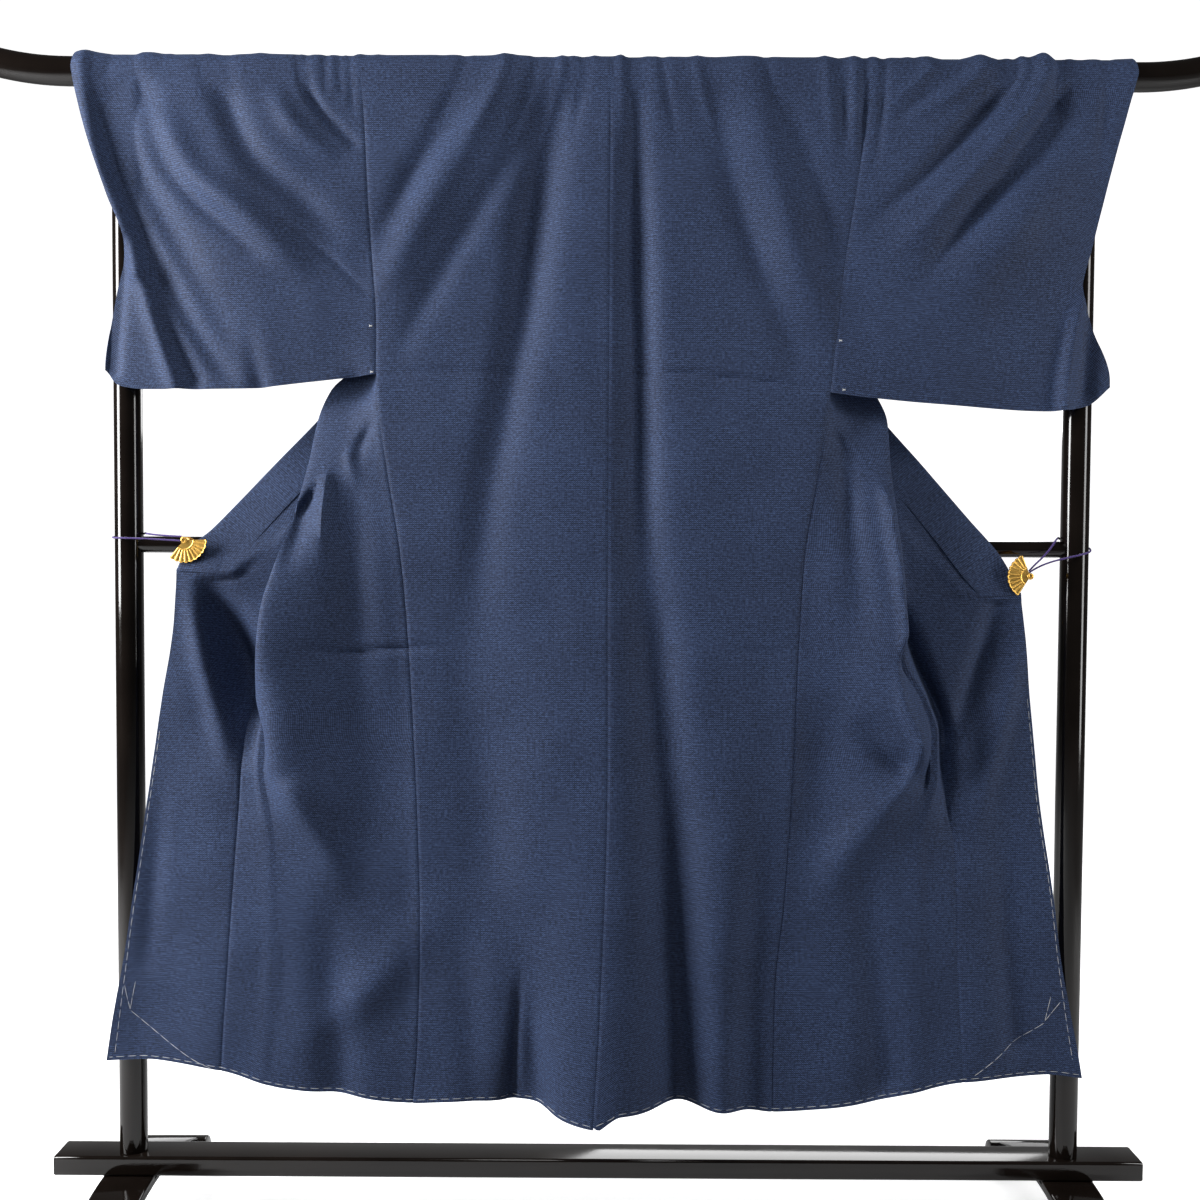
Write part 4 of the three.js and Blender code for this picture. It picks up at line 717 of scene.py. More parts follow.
def layered(front, back, closed=False):
    """Vertices and outward faces of the wall between two grids of the same shape, with rims; joined round its
    columns where closed."""
    rows, columns = front.shape[:2]
    size = rows * columns
    quads = grid_quads(rows, columns, closed)
    top = np.arange(columns if closed else columns - 1)
    after = (top + 1) % columns
    end = (rows - 1) * columns
    faces = [quads, quads[:, ::-1] + size,
             np.stack([top, after, after + size, top + size], -1),
             np.stack([end + top, end + top + size, end + after + size, end + after], -1)]
    if not closed:
        i = np.arange(rows - 1) * columns
        for first, turn in ((i, 1), (i + columns - 1, -1)):
            side = np.stack([first, first + size, first + columns + size, first + columns], -1)
            faces.append(side[:, ::turn])
    vertices = np.concatenate([front.reshape(-1, 3), back.reshape(-1, 3)])
    return vertices, outward(vertices, np.concatenate(faces))


def shell(name, grid, thickness, closed=False):
    """A wall of cloth: the grid moved half the thickness to both sides along its normals. The uv map holds the
    length across and down the cloth, in metres."""
    rows, columns = grid.shape[:2]
    normal = grid_normals(grid, closed)
    vertices, faces = layered(*(grid + s * normal * thickness / 2 for s in (1, -1)), closed)
    across = np.linalg.norm(np.diff(grid, axis=1), axis=-1)
    u = np.concatenate([np.zeros((rows, 1)), np.cumsum(across, 1)], 1)
    v = np.concatenate([np.zeros((1, columns)), np.cumsum(np.linalg.norm(np.diff(grid, axis=0), axis=-1), 0)])
    if closed:
        u, v = v, np.broadcast_to(u.mean(0, keepdims=True), u.shape)
    else:
        v = np.broadcast_to(v.mean(1, keepdims=True), v.shape)
    uv = np.stack([u, v], -1).reshape(-1, 2) * MM
    return make_object(name, vertices, faces, np.concatenate([uv, uv]))


def swept(sections):
    """Vertices and faces of a closed bar: rings of points (rows, around, 3), with each end ring filled from its
    own middle."""
    sections = np.asarray(sections, float)
    rows, around = sections.shape[:2]
    vertices = np.concatenate([sections.reshape(-1, 3), [sections[0].mean(0), sections[-1].mean(0)]])
    quads = grid_quads(rows, around, True)
    turned = outward(vertices, quads)
    j = np.arange(around)
    after = (j + 1) % around
    end = (rows - 1) * around
    caps = np.concatenate([np.stack([j, after, np.full(around, rows * around)], -1),
                           np.stack([end + after, end + j, np.full(around, rows * around + 1)], -1)])
    if turned is not quads:
        caps = caps[:, ::-1]
    return vertices, turned.tolist() + caps.tolist()


def joined(name, parts, sharp=40):
    """One object from several closed bars given as (vertices, faces)."""
    vertices, faces, start = [], [], 0
    for part_vertices, part_faces in parts:
        vertices.append(part_vertices)
        faces.extend([[k + start for k in face] for face in part_faces])
        start += len(part_vertices)
    return make_object(name, np.concatenate(vertices), faces, None, sharp)


def tube_sections(path, radii, around, twist=0.0, lobes=0, lobe=0.0):
    """Rings about a path: radius times (1 + lobe cos(lobes (angle - twist s))), in frames carried along it."""
    path = np.asarray(path, float)
    tangent = unit(np.gradient(path, axis=0))
    normal = np.empty_like(path)
    start = np.array([0.0, 0.0, 1.0]) if abs(tangent[0, 2]) < 0.9 else np.array([0.0, 1.0, 0.0])
    normal[0] = unit(start - tangent[0] * start.dot(tangent[0]))
    for k in range(1, len(path)):
        normal[k] = unit(normal[k - 1] - tangent[k] * normal[k - 1].dot(tangent[k]))
    side = np.cross(tangent, normal)
    angle = ring_angles(around)
    radius = np.broadcast_to(np.asarray(radii, float).reshape(-1, 1), (len(path), around))
    radius = radius * (1 + lobe * np.cos(lobes * (angle[None, :] - twist * arc_lengths(path)[:, None])))
    return (path[:, None, :] + radius[..., None] * (np.cos(angle)[None, :, None] * normal[:, None, :]
                                                    + np.sin(angle)[None, :, None] * side[:, None, :]))


def spaced(count, close, span=1.0):
    """Shares from 0 to span, with extra ones close to both ends."""
    inner = np.linspace(close[-1] * 1.9, span - close[-1] * 1.9, count)
    return np.concatenate([[0.0], close, inner, span - np.asarray(close)[::-1], [span]])


# ---- materials ----

def new_material(name, roughness, metallic=0.0, **sockets):
    """An empty node material with one Principled shader, its constant values on the shader's own sockets."""
    material = bpy.data.materials.new(name)
    material.use_nodes = True
    tree = material.node_tree
    tree.nodes.clear()
    output = tree.nodes.new("ShaderNodeOutputMaterial")
    shader = tree.nodes.new("ShaderNodeBsdfPrincipled")
    tree.links.new(shader.outputs["BSDF"], output.inputs["Surface"])
    shader.inputs["Roughness"].default_value = roughness
    shader.inputs["Metallic"].default_value = metallic
    for socket, value in sockets.items():
        shader.inputs[socket.replace("_", " ")].default_value = value
    return material, tree, shader


def math_node(tree, operation, a, b=None, c=None):
    """A Math node; each input is a number or another node's output."""
    node = tree.nodes.new("ShaderNodeMath")
    node.operation = operation
    for socket, value in zip(node.inputs, (a, b, c)):
        if isinstance(value, (int, float)):
            socket.default_value = value
        elif value is not None:
            tree.links.new(value, socket)
    return node.outputs[0]


def noise(tree, vector, scale, detail=3.0, roughness=0.55):
    """A Noise texture's value at the vector."""
    node = tree.nodes.new("ShaderNodeTexNoise")
    node.inputs["Scale"].default_value = scale
    node.inputs["Detail"].default_value = detail
    node.inputs["Roughness"].default_value = roughness
    tree.links.new(vector, node.inputs["Vector"])
    return node.outputs["Fac"]


def mapped(tree, vector, scale):
    """The vector through a Mapping node."""
    node = tree.nodes.new("ShaderNodeMapping")
    node.inputs["Scale"].default_value = scale
    tree.links.new(vector, node.inputs["Vector"])
    return node.outputs["Vector"]


def ramp(tree, factor, stops):
    """A Color Ramp over (position, colour) stops."""
    node = tree.nodes.new("ShaderNodeValToRGB")
    elements = node.color_ramp.elements
    while len(elements) < len(stops):
        elements.new(0.5)
    for element, (position, colour) in zip(elements, stops):
        element.position = position
        element.color = (*colour, 1)
    tree.links.new(factor, node.inputs["Fac"])
    return node.outputs["Color"]


def tinted(tree, shader, factor, stops):
    """The shader's base colour from a ramp over the factor."""
    tree.links.new(ramp(tree, factor, stops), shader.inputs["Base Color"])


def axes(tree, vector):
    """The vector's components, by letter."""
    node = tree.nodes.new("ShaderNodeSeparateXYZ")
    tree.links.new(vector, node.inputs[0])
    return node.outputs


def camera_ray(tree):
    """1 for what the camera sees directly, otherwise 0."""
    return tree.nodes.new("ShaderNodeLightPath").outputs["Is Camera Ray"]


def bump(tree, shader, height, strength, distance):
    """A Bump node from the height to the shader's normal."""
    node = tree.nodes.new("ShaderNodeBump")
    node.inputs["Strength"].default_value = strength
    node.inputs["Distance"].default_value = distance
    tree.links.new(height, node.inputs["Height"])
    tree.links.new(node.outputs["Normal"], shader.inputs["Normal"])


def uv_vector(tree):
    """The piece's own uv map."""
    node = tree.nodes.new("ShaderNodeUVMap")
    node.uv_map = "Cloth"
    return node.outputs["UV"]


def object_vector(tree):
    """Object coordinates."""
    return tree.nodes.new("ShaderNodeTexCoord").outputs["Object"]


# Shares of the navy cloth's tone, and its streaks of noise as scale, detail and share.
WEAVE = {"ladder": 0.75, "weft": 0.25, "share": 0.7, "base": 0.44}
STREAKS = {"slub": ((38, 640, 1), 2.0, 0.5), "fine": ((240, 400, 1), 1.0, 1.1), "tone": ((5, 9, 1), 3.0, 0.25)}


def navy_cloth():
    """Pongee: a small ladder weave, long flat slubs across the cloth, and slow changes of tone."""
    colours = looks()
    material, tree, shader = new_material("NavyCloth", 0.72, Sheen_Weight=0.1, Sheen_Roughness=0.4,
                                          Sheen_Tint=(0.55, 0.68, 1.0, 1), Specular_IOR_Level=0.25)
    uv = uv_vector(tree)
    split = axes(tree, uv)
    warp, weft = (math_node(tree, "SINE", math_node(tree, "MULTIPLY", split[axis], 2 * math.pi / pitch))
                  for axis, pitch in (("X", colours.weave_pitch * 0.9), ("Y", colours.weave_pitch)))
    ladder = math_node(tree, "MULTIPLY", warp, weft)
    weave = math_node(tree, "ADD", math_node(tree, "MULTIPLY", ladder, WEAVE["ladder"]),
                      math_node(tree, "MULTIPLY", weft, WEAVE["weft"]))
    streaks = {name: noise(tree, mapped(tree, uv, scale), 1.0, detail, 0.5)
               for name, (scale, detail, _) in STREAKS.items()}
    mixed = math_node(tree, "MULTIPLY_ADD", weave, WEAVE["share"], WEAVE["base"])
    for name, (_, _, share) in STREAKS.items():
        mixed = math_node(tree, "MULTIPLY_ADD", math_node(tree, "SUBTRACT", streaks[name], 0.5), share, mixed)
    tinted(tree, shader, mixed, [(0.0, colours.cloth_dark), (0.5, colours.cloth_mid), (1.0, colours.cloth_light)])
    height = math_node(tree, "MULTIPLY_ADD", weave, 0.35, streaks["slub"])
    bump(tree, shader, height, 0.35, 0.0006)
    return material


def black_lacquer():
    """Black gloss lacquer: a nearly flat film with the faintest orange peel and dull spots."""
    material, tree, shader = new_material("BlackLacquer", 0.1, Specular_IOR_Level=0.35, Coat_Weight=0.1,
                                          Coat_Roughness=0.04)
    vector = object_vector(tree)
    spots = noise(tree, vector, 14.0, 4.0)
    tinted(tree, shader, spots, [(0.3, looks().lacquer), (0.8, tuple(1.8 * c for c in looks().lacquer))])
    tree.links.new(math_node(tree, "MULTIPLY_ADD", spots, 0.12, 0.05), shader.inputs["Roughness"])
    bump(tree, shader, noise(tree, vector, 260.0, 1.0), 0.04, 0.0004)
    return material


def gold_metal():
    """Gilt brass: bright on the ribs, duller and browner in slow patches."""
    material, tree, shader = new_material("GiltBrass", 0.3, 1.0)
    vector = object_vector(tree)
    patches = noise(tree, vector, 160.0, 4.0)
    gold = looks().gold
    tinted(tree, shader, patches, [(0.25, tuple(0.75 * c for c in gold)), (0.7, gold)])
    tree.links.new(math_node(tree, "MULTIPLY_ADD", patches, 0.2, 0.3), shader.inputs["Roughness"])
    bump(tree, shader, noise(tree, vector, 900.0, 3.0), 0.05, 0.0003)
    return material


def thread_material(name, colour):
    """Spun thread: fine strands along it and a soft fuzz."""
    material, tree, shader = new_material(name, 0.8, Sheen_Weight=0.4, Sheen_Roughness=0.5)
    vector = object_vector(tree)
    strands = noise(tree, vector, 2600.0, 2.0)
    tinted(tree, shader, strands, [(0.2, tuple(0.55 * c for c in colour)), (0.75, tuple(colour))])
    bump(tree, shader, strands, 0.4, 0.0003)
    return material


def stage_material():
    """Pale paper with the faintest mottling. To the camera it glows a little, more so behind the stand."""
    material, tree, shader = new_material("PaleBackdrop", 0.9)
    vector = object_vector(tree)
    tinted(tree, shader, noise(tree, vector, 6.0, 3.0), [(0.3, (0.86, 0.86, 0.87)), (0.7, (0.9, 0.9, 0.9))])
    behind = tree.nodes.new("ShaderNodeMapRange")
    behind.interpolation_type = "SMOOTHSTEP"
    for socket, value in (("From Min", -0.05), ("From Max", 0.6), ("To Min", 0.7), ("To Max", 0.9)):
        behind.inputs[socket].default_value = value
    tree.links.new(axes(tree, vector)["Y"], behind.inputs["Value"])
    tree.links.new(math_node(tree, "MULTIPLY", behind.outputs["Result"], camera_ray(tree)),
                   shader.inputs["Emission Strength"])
    shader.inputs["Emission Color"].default_value = (1, 1, 1, 1)
    return material


MATERIALS = {"navy_cloth": navy_cloth, "black_lacquer": black_lacquer, "gold_metal": gold_metal,
             "purple_cord": lambda: thread_material("PurpleCord", looks().cord),
             "white_thread": lambda: thread_material("WhiteThread", looks().thread)}
made_materials = {}


def finish(piece, slot, replaced=()):
    """Gives a piece the material named by slot and its body, and hides the nodes that it stands for."""
    if slot not in made_materials:
        made_materials[slot] = MATERIALS[slot]()
    piece.data.materials.clear()
    piece.data.materials.append(made_materials[slot])
    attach(piece, "root")
    if replaced:
        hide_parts(*replaced)
    return piece


# ---- the garment ----

SEAM_SHARES = [0.005, 0.011, 0.019]


def make_body(side):
    """Back and front of one side in one length of cloth, over the rail."""
    u = spaced(66, SEAM_SHARES)
    t = 1 - np.concatenate([spaced(14, [0.004, 0.009, 0.015], 0.24), np.linspace(0.24, 0.34, 13)[1:],
                            0.34 + spaced(36, [0.005, 0.011, 0.02], 0.66)[1:]])
    t = np.interp(np.linspace(0, 1, u.size), np.linspace(0, 1, t.size), t)
    t[np.abs(t - TUCK["from"]).argmin()] = TUCK["from"]
    t[np.abs(t - TUCK["to"]).argmin()] = TUCK["to"]
    back_z = np.concatenate([np.linspace(HEM_Z, 1540, 246), [1552, 1562]])
    front_z = np.concatenate([np.linspace(SHOULDER_Z, 1500, 25), np.linspace(1500, HEM_Z, 238)[1:]])
    back = back_points(side, *np.broadcast_arrays(u[None, :], back_z[:, None]))
    front = front_points(side, *(a.copy() for a in np.broadcast_arrays(t[None, :], front_z[:, None])))
    turn = np.linspace(0, 1, 22)[:, None]
    rail_row = back_points(side, u[None, :], np.full((1, u.size), float(RAIL_Z)))
    x = lerp(rail_row[..., 0], front[:1, :, 0], turn)
    grid = np.concatenate([back, over_rail(x, turn, rail_lift(x, turn)), front])
    return shell(f"body_cloth_{side}", grid, looks().cloth_thickness)


def make_okumi(side):
    """Overlap panel from the point under the collar to the hem."""
    t = spaced(22, [0.012, 0.026, 0.045])
    end = COLLAR_END_Z[side] + COLLAR_END_LAP
    z = np.concatenate([np.linspace(KENSAKI_Z - 20, end + 0.3, 90), np.linspace(end - 0.3, HEM_Z, 160)])
    grid = okumi_points(side, *(a.copy() for a in np.broadcast_arrays(t[None, :], z[:, None])))
    return shell(f"okumi_cloth_{side}", grid, looks().cloth_thickness)


def clear_of_upright(x):
    """Least distance in y between the stand's plane and the cloth: the most over an upright, less beside it."""
    beside = np.maximum(np.abs(x - UPRIGHT_X) - UPRIGHT_CLEAR["flat"], 0)
    return UPRIGHT_CLEAR["least"] - UPRIGHT_CLEAR["fall"] * beside**2


def make_sleeve(side):
    """A ring of cloth over the rail at each share from the armhole to the cuff; its two layers meet along the
    bottom, below the cuff opening and below the armhole."""
    shape = SLEEVE[side]
    a = spaced(98, [0.004, 0.009, 0.016])[:, None]
    bottom = along(shape["bottom"], a)
    armhole_bottom = shape["bottom"][0][1]

    def inner(z):
        return along(SIDE[side], z) + SEAM_GAP + SLEEVE_SEAM_ROOM * fade(z, ARMPIT_Z, 12)

    def near_y(x, z, s):
        share = np.clip((x - inner(z)) / (along(shape["outer"], z) - inner(z)), 0, 1)
        swell = SWELL["near"] * np.sin(math.pi * share) * np.maximum(np.sin(math.pi * s), 0) ** 0.7
        calm = smooth(share * 8) * smooth((1 - share) * 12)
        y = lerp(along(SIDE_Y, z), along(NEAR_OUTER_Y, z), share) - swell + bell_folds(shape["folds"], x, z) * calm
        y = y + near_relief(SIGN[side] * x, z) + rolled(x - inner(z)) * fade(z, *OFF_RAIL)
        return np.minimum(y, -clear_of_upright(x))

    def near(s):
        z = lerp(RAIL_Z, bottom, s)
        x = lerp(inner(z), along(shape["outer"], z), a)
        return SIGN[side] * x, near_y(x, z, s), z

    def far(s):
        z = lerp(RAIL_Z, bottom, s)
        x = lerp(inner(z), along(shape["far_outer"], z), a)
        closed_inner = along(SIDE_Y, z) + SLEEVE_LAYERS
        inner_y = lerp(along(FRONT_SIDE_Y, z), closed_inner, fade(z, ARMPIT_Z, 14))
        swell = SWELL["far"] * (np.sin(math.pi * a) * np.maximum(np.sin(math.pi * s), 0)) ** 2
        y = lerp(inner_y, along(shape["far_outer_y"], z), smooth(a)) + swell
        touching = smooth((22 - (y - lerp(along(SIDE_Y, z), along(NEAR_OUTER_Y, z), a))) / 18)
        y = y + lerp(far_relief(SIGN[side] * x, z), near_relief(SIGN[side] * x, z), touching)
        open_here = smooth((z - SLEEVE_OPEN_Z + 110) / 40)
        y = np.maximum(y, near_y(x, z, s) + 1.8)
        return SIGN[side] * x, lerp(y, np.maximum(y, clear_of_upright(x)), open_here), z

    down = np.linspace(0, 1, 132)[None, :]
    near_grid = stacked(*near(down[:, ::-1]))[:, :-1]
    turn = np.linspace(0, 1, 24)[None, :]
    shares = (RAIL_Z - np.linspace(SHOULDER_Z, armhole_bottom, 128)) / (RAIL_Z - armhole_bottom)
    far_grid = stacked(*far(shares[None, :]))
    top_x = lerp(near_grid[:, -1:, 0], far_grid[:, :1, 0], turn)
    over = over_rail(top_x, turn, rail_lift(top_x, turn))
    grid = np.concatenate([near_grid, over, far_grid], axis=1)
    return shell(f"sleeve_cloth_{side}", grid, looks().cloth_thickness, closed=True)


def make_collar():
    """A band folded over the cloth's edge: a U-shaped section carried from one front edge to the other."""
    section = np.array([[0, -0.36], [0.03, -0.42], [0.1, -0.5], [0.3, -0.55], [0.5, -0.55], [0.7, -0.55], [0.9, -0.5],
                        [0.95, -0.45], [0.985, -0.3], [1, 0], [0.985, 0.3], [0.95, 0.45], [0.9, 0.5], [0.7, 0.55],
                        [0.5, 0.55], [0.3, 0.55], [0.1, 0.5], [0.03, 0.42], [0, 0.36]], float)
    last = len(COLLAR["left"]) - 1
    step = np.concatenate([np.linspace(0, 1, 17), np.linspace(1, last, 190)[1:]])

    def leg(side):
        def at(name):
            rows = [[i, row[COLLAR_COLUMNS[name]]] for i, row in enumerate(COLLAR[side])]
            return along(rows, step)[:, None]
        x = lerp(at("sewnX"), at("freeX"), section[:, 0])
        z = lerp(at("sewnZ"), at("freeZ"), section[:, 0])
        slope = (along(COLLAR_Y[side], z + 1) - along(COLLAR_Y[side], z - 1)) / 2
        length = np.sqrt(1 + slope**2)
        room = COLLAR_ROOM * section[:, 1] * lerp(0.66, 1, smooth((last - step) / 0.5))[:, None]
        wave = RIPPLE["height"] * ripple(SIGN[side] * x, z, RIPPLE["collar"]) * fade(z, 1500, 80)
        return np.stack([SIGN[side] * x, along(COLLAR_Y[side], z) + room / length + wave, z - room * slope / length],
                        -1)

    grid = np.concatenate([leg("left")[::-1], leg("right")[1:]])
    return shell("collar_cloth", grid, 1.0)


# ---- threads ----

def cloth_tree(pieces):
    """One search tree over the pieces' faces."""
    vertices, faces, start = [], [], 0
    for piece in pieces:
        mesh = piece.data
        vertices.extend(v.co.copy() for v in mesh.vertices)
        faces.extend([k + start for k in face.vertices] for face in mesh.polygons)
        start += len(mesh.vertices)
    return BVHTree.FromPolygons(vertices, faces)


def on_cloth(tree, x, z, lift):
    """The point lift in front of the first cloth met from -Y at x, z, in millimetres."""
    hit = tree.ray_cast(Vector((x * MM, -0.4, z * MM)), Vector((0, 1, 0)))[0]
    if hit is None:
        return None
    return np.array(hit) / MM + np.array((0.0, -lift, 0.0))


def stitches(tree, line, stitch, gap, radius):
    """Closed capsules along a line of (x, z): each lies on the cloth for one stitch, then leaves a gap."""
    dense = spline(line, 200) if len(line) > 2 else np.linspace(line[0], line[1], 200)
    run = arc_lengths(dense)
    parts = []
    start = 0.0
    while start < run[-1] - 1:
        ends = np.linspace(start, min(start + stitch, run[-1]), 5)
        spots = [on_cloth(tree, np.interp(s, run, dense[:, 0]), np.interp(s, run, dense[:, 1]), radius * 0.6)
                 for s in ends]
        start += stitch + gap
        if any(spot is None for spot in spots):
            continue
        path = np.array(spots)
        path[[0, -1], 1] += radius * 1.2
        if np.abs(np.diff(path[:, 1])).max() > 6:
            continue
        parts.append(swept(tube_sections(path, radius * np.array([0.5, 1, 1, 1, 0.5]), 6)))
    return parts


def make_threads(side, tree):
    """Basting down the front edge and along the hem, and the arrow and line near the hem's corner."""
    sign = SIGN[side]
    radius = looks().thread_thickness / 2
    parts = []
    edge_z = np.linspace(EDGE_THREAD_TOP[side], HEM_Z + 58, 24)
    edge = [(sign * (float(along(FRONT_EDGE[side], z)) - 3.5), z) for z in edge_z]
    parts += stitches(tree, edge, *STITCH["edge"], radius)
    hem_x = np.linspace(3, FRONT_EDGE[side][-1][1] - 4, 60)
    centre = CENTRE_X[-1][1]
    hem = [(sign * x + (0 if x > 12 else centre), HEM_Z + float(along(HEM_LIFT[side], x)) + 4.5) for x in hem_x]
    parts += stitches(tree, hem, *STITCH["hem"], radius)
    for line in ARROWS[side]:
        parts += stitches(tree, line, *STITCH["arrow" if len(line) == 2 else "line"], radius)
    return finish(joined(f"basting_{side}", parts), "white_thread")


def make_armhole_stitches(side, tree):
    """Two small white tacks where the sleeve is closed beside the body."""
    parts = []
    for x, z in ARMHOLE_STITCHES[side]:
        for offset in (-1.2, 1.2):
            parts += stitches(tree, [(x - 2.4, z + offset), (x + 2.4, z - offset)], *STITCH["tack"],
                              TACK_RADIUS)
    return finish(joined(f"tacks_{side}", parts), "white_thread")


# ---- clips and cords ----

def make_fan(side):
    """A folding fan in pressed brass: ribs and valleys cross the outer leaf, r from 0.42 to 1 of the radius;
    inside it a plain raised sector with a line at its rim, and a hub."""
    clip = CLIP[side]
    columns = FAN["pleats"] * FAN["pleat_columns"] + 1
    share = np.linspace(0, 1, columns)[None, :]
    rows = np.concatenate([np.linspace(0.1, 0.4, 12), np.linspace(0.41, 0.93, 22), np.linspace(0.94, 1, 9)])[:, None]
    angle = np.radians(lerp(clip["from"], clip["to"], share))
    fold = np.abs(np.sin(math.pi * FAN["pleats"] * share))
    radius = FAN["radius"] * rows * (1 - 0.045 * (1 - fold) * smooth((rows - 0.6) / 0.4))
    leaf = smooth((rows - 0.41) / 0.03)
    ribs = lerp(0.75, fold**0.55 * (0.5 + 0.6 * rows), leaf)
    line = 0.55 * np.exp(-(((rows - 0.415) / 0.016) ** 2)) + 0.35 * np.exp(-(((rows - 0.975) / 0.014) ** 2))
    edge = 1 - smooth((0.012 - share) / 0.012) * 0.5 - smooth((share - 0.988) / 0.012) * 0.5
    front = clip["fan_y"] + 0.8 - (ribs + line) * edge
    back = clip["fan_y"] + FAN["thick"] - 0.15 * (1 - rows)
    x = clip["x"] + radius * np.cos(angle)
    z = clip["z"] + radius * np.sin(angle)
    vertices, faces = layered(stacked(x, front, z), stacked(x, back, z))
    back_y, front_y = clip["fan_y"] + FAN["thick"], clip["fan_y"]
    dome = [(back_y, 0.01), (back_y, FAN["hub_radius"])]
    dome += [(front_y - FAN["hub_height"] * math.sin(a), FAN["hub_radius"] * math.cos(a) + 0.02)
             for a in np.linspace(0, math.pi / 2, 8)]
    hub = [[(clip["x"] + r * math.cos(a), y, clip["z"] + r * math.sin(a)) for a in ring_angles(32)] for y, r in dome]
    turn = np.linspace(0, 2 * math.pi, 33)
    loop = stacked(clip["x"] + FAN["loop_radius"] * np.cos(turn), front_y - 1.9,
                   clip["z"] + FAN["loop_radius"] * np.sin(turn))
    parts = [(vertices, faces.tolist()), swept(hub), swept(tube_sections(loop, FAN["wire"], 10))]
    return finish(joined(f"fan_{side}", parts, 35), "gold_metal", [f"clip_fan_{side}"])


def make_cord(side):
    """A thin two-ply cord on the clip's route: two lobes that turn once every 4 mm."""
    path = spline(CORD_ROUTE[side], 620)
    sections = tube_sections(path, CORD_RADIUS * 0.86, 12, 2 * math.pi / 4.0, 2, 0.16)
    cord = finish(joined(f"cord_{side}", [swept(sections)], 60), "purple_cord", [f"tie_cord_{side}"])
    return cord


# ---- the stand ----

def saddle_bar(radius, low, high, centre, axis, low_saddle=0.0, high_saddle=0.0, around=72):
    """A round bar along x or z; an end with a saddle radius R is cut back by sqrt(R^2 - y^2) to fit a tube."""
    angle = ring_angles(around)
    steps = [(0.02, 0), (0.5, 0), (0.9, 0), (0.985, 0), (1, 0.5)]
    rings = [(r, low, low_saddle, inset, 1) for r, inset in steps]
    rings += [(1, lerp(low + 22, high - 22, s), 0, 0, 0) for s in np.linspace(0, 1, 9)]
    rings += [(r, high, high_saddle, inset, -1) for r, inset in reversed(steps)]
    points = []
    for share, at, saddle, inset, way in rings:
        y = radius * share * np.cos(angle)
        across = radius * share * np.sin(angle)
        reach = np.sqrt(np.maximum(saddle**2 - y**2, 0)) if saddle else 0 * y
        end = at + way * (reach + inset)
        if axis == "z":
            points.append(np.stack([centre[0] + across, y, end], -1))
        else:
            points.append(np.stack([end, y, centre[1] + across], -1))
    return swept(points)


def rounded_section(width, height, corner, steps=5):
    """A rounded rectangle as (across, up) points."""
    turn = np.linspace(0, math.pi / 2, steps)
    points = []
    for quarter, (sx, sy) in enumerate(((1, 1), (-1, 1), (-1, -1), (1, -1))):
        angle = turn + quarter * math.pi / 2
        points.append(np.stack([sx * (width / 2 - corner) + corner * np.cos(angle),
                                sy * (height / 2 - corner) + corner * np.sin(angle)], -1))
    return np.concatenate(points)


def rounded_bar(path, across, up, width, height, corner, bevel):
    """A rounded rectangle carried along a path, drawn in over the bevel at both ends."""
    ends = [(0.0, bevel), (0.3 * bevel, 0.3 * bevel), (bevel, 0.0)]
    path = np.asarray(path, float)
    across, up = (np.broadcast_to(np.asarray(v, float), path.shape) for v in (across, up))
    run = arc_lengths(path)
    stations = ends + [(s, 0.0) for s in run[(run > 2 * bevel) & (run < run[-1] - 2 * bevel)]]
    stations += [(run[-1] - s, inset) for s, inset in reversed(ends)]
    rings = []
    for s, inset in stations:
        centre, a, b = (np.array([np.interp(s, run, v[:, k]) for k in range(3)]) for v in (path, across, up))
        section = rounded_section(width - 2 * inset, height - 2 * inset, max(corner - inset, 0.6))
        rings.append(centre + section[:, :1] * unit(a) + section[:, 1:] * unit(b))
    return swept(rings)


def lacquered(name, parts, nodes):
    """One lacquered piece from its parts."""
    return finish(joined(name, parts, STAND_SHARP), "black_lacquer", nodes)


def make_top_rail():
    """The rail: straight in the middle, bent up at both ends, each end closed by a dome over a thin groove."""
    tip = math.asin((RAIL_TIP - RAIL_STRAIGHT) / RAIL_BEND)
    bend = np.linspace(0, tip, 24)
    right = np.stack([RAIL_STRAIGHT + RAIL_BEND * np.sin(bend), 0 * bend, RAIL_Z + RAIL_BEND * (1 - np.cos(bend))], -1)
    onward = np.array([math.cos(tip), 0, math.sin(tip)])
    dome = np.linspace(0, math.pi / 2, 9)
    groove = [(0.05, 0.8), (0.3, 0.8), (0.35, 0.0), (3.3, 0.0)]
    beyond = [(d, RAIL_RADIUS - inset) for d, inset in groove]
    beyond += [(3.3 + 7 * math.sin(a), RAIL_RADIUS * math.cos(a) + 0.02) for a in dome[1:]]
    cap = np.array([right[-1] + onward * d for d, _ in beyond])
    mirror = np.array([-1, 1, 1])
    path = np.concatenate([(cap * mirror)[::-1], (right * mirror)[::-1], right, cap])
    radii = [r for _, r in reversed(beyond)] + [RAIL_RADIUS] * (2 * len(right)) + [r for _, r in beyond]
    angle = ring_angles(72)
    run = np.gradient(path, axis=0)
    run[:len(cap)] = onward * [1, 1, -1]
    run[-len(cap):] = onward
    run = unit(run)
    up = unit(np.stack([-run[:, 2], 0 * run[:, 0], run[:, 0]], -1))
    sections = [p + r * (np.cos(angle)[:, None] * np.array([0, 1, 0]) + np.sin(angle)[:, None] * u)
                for p, r, u in zip(path, radii, up)]
    return lacquered("rail", [swept(sections)], ["top_rail", "rail_cap_left", "rail_cap_right"])


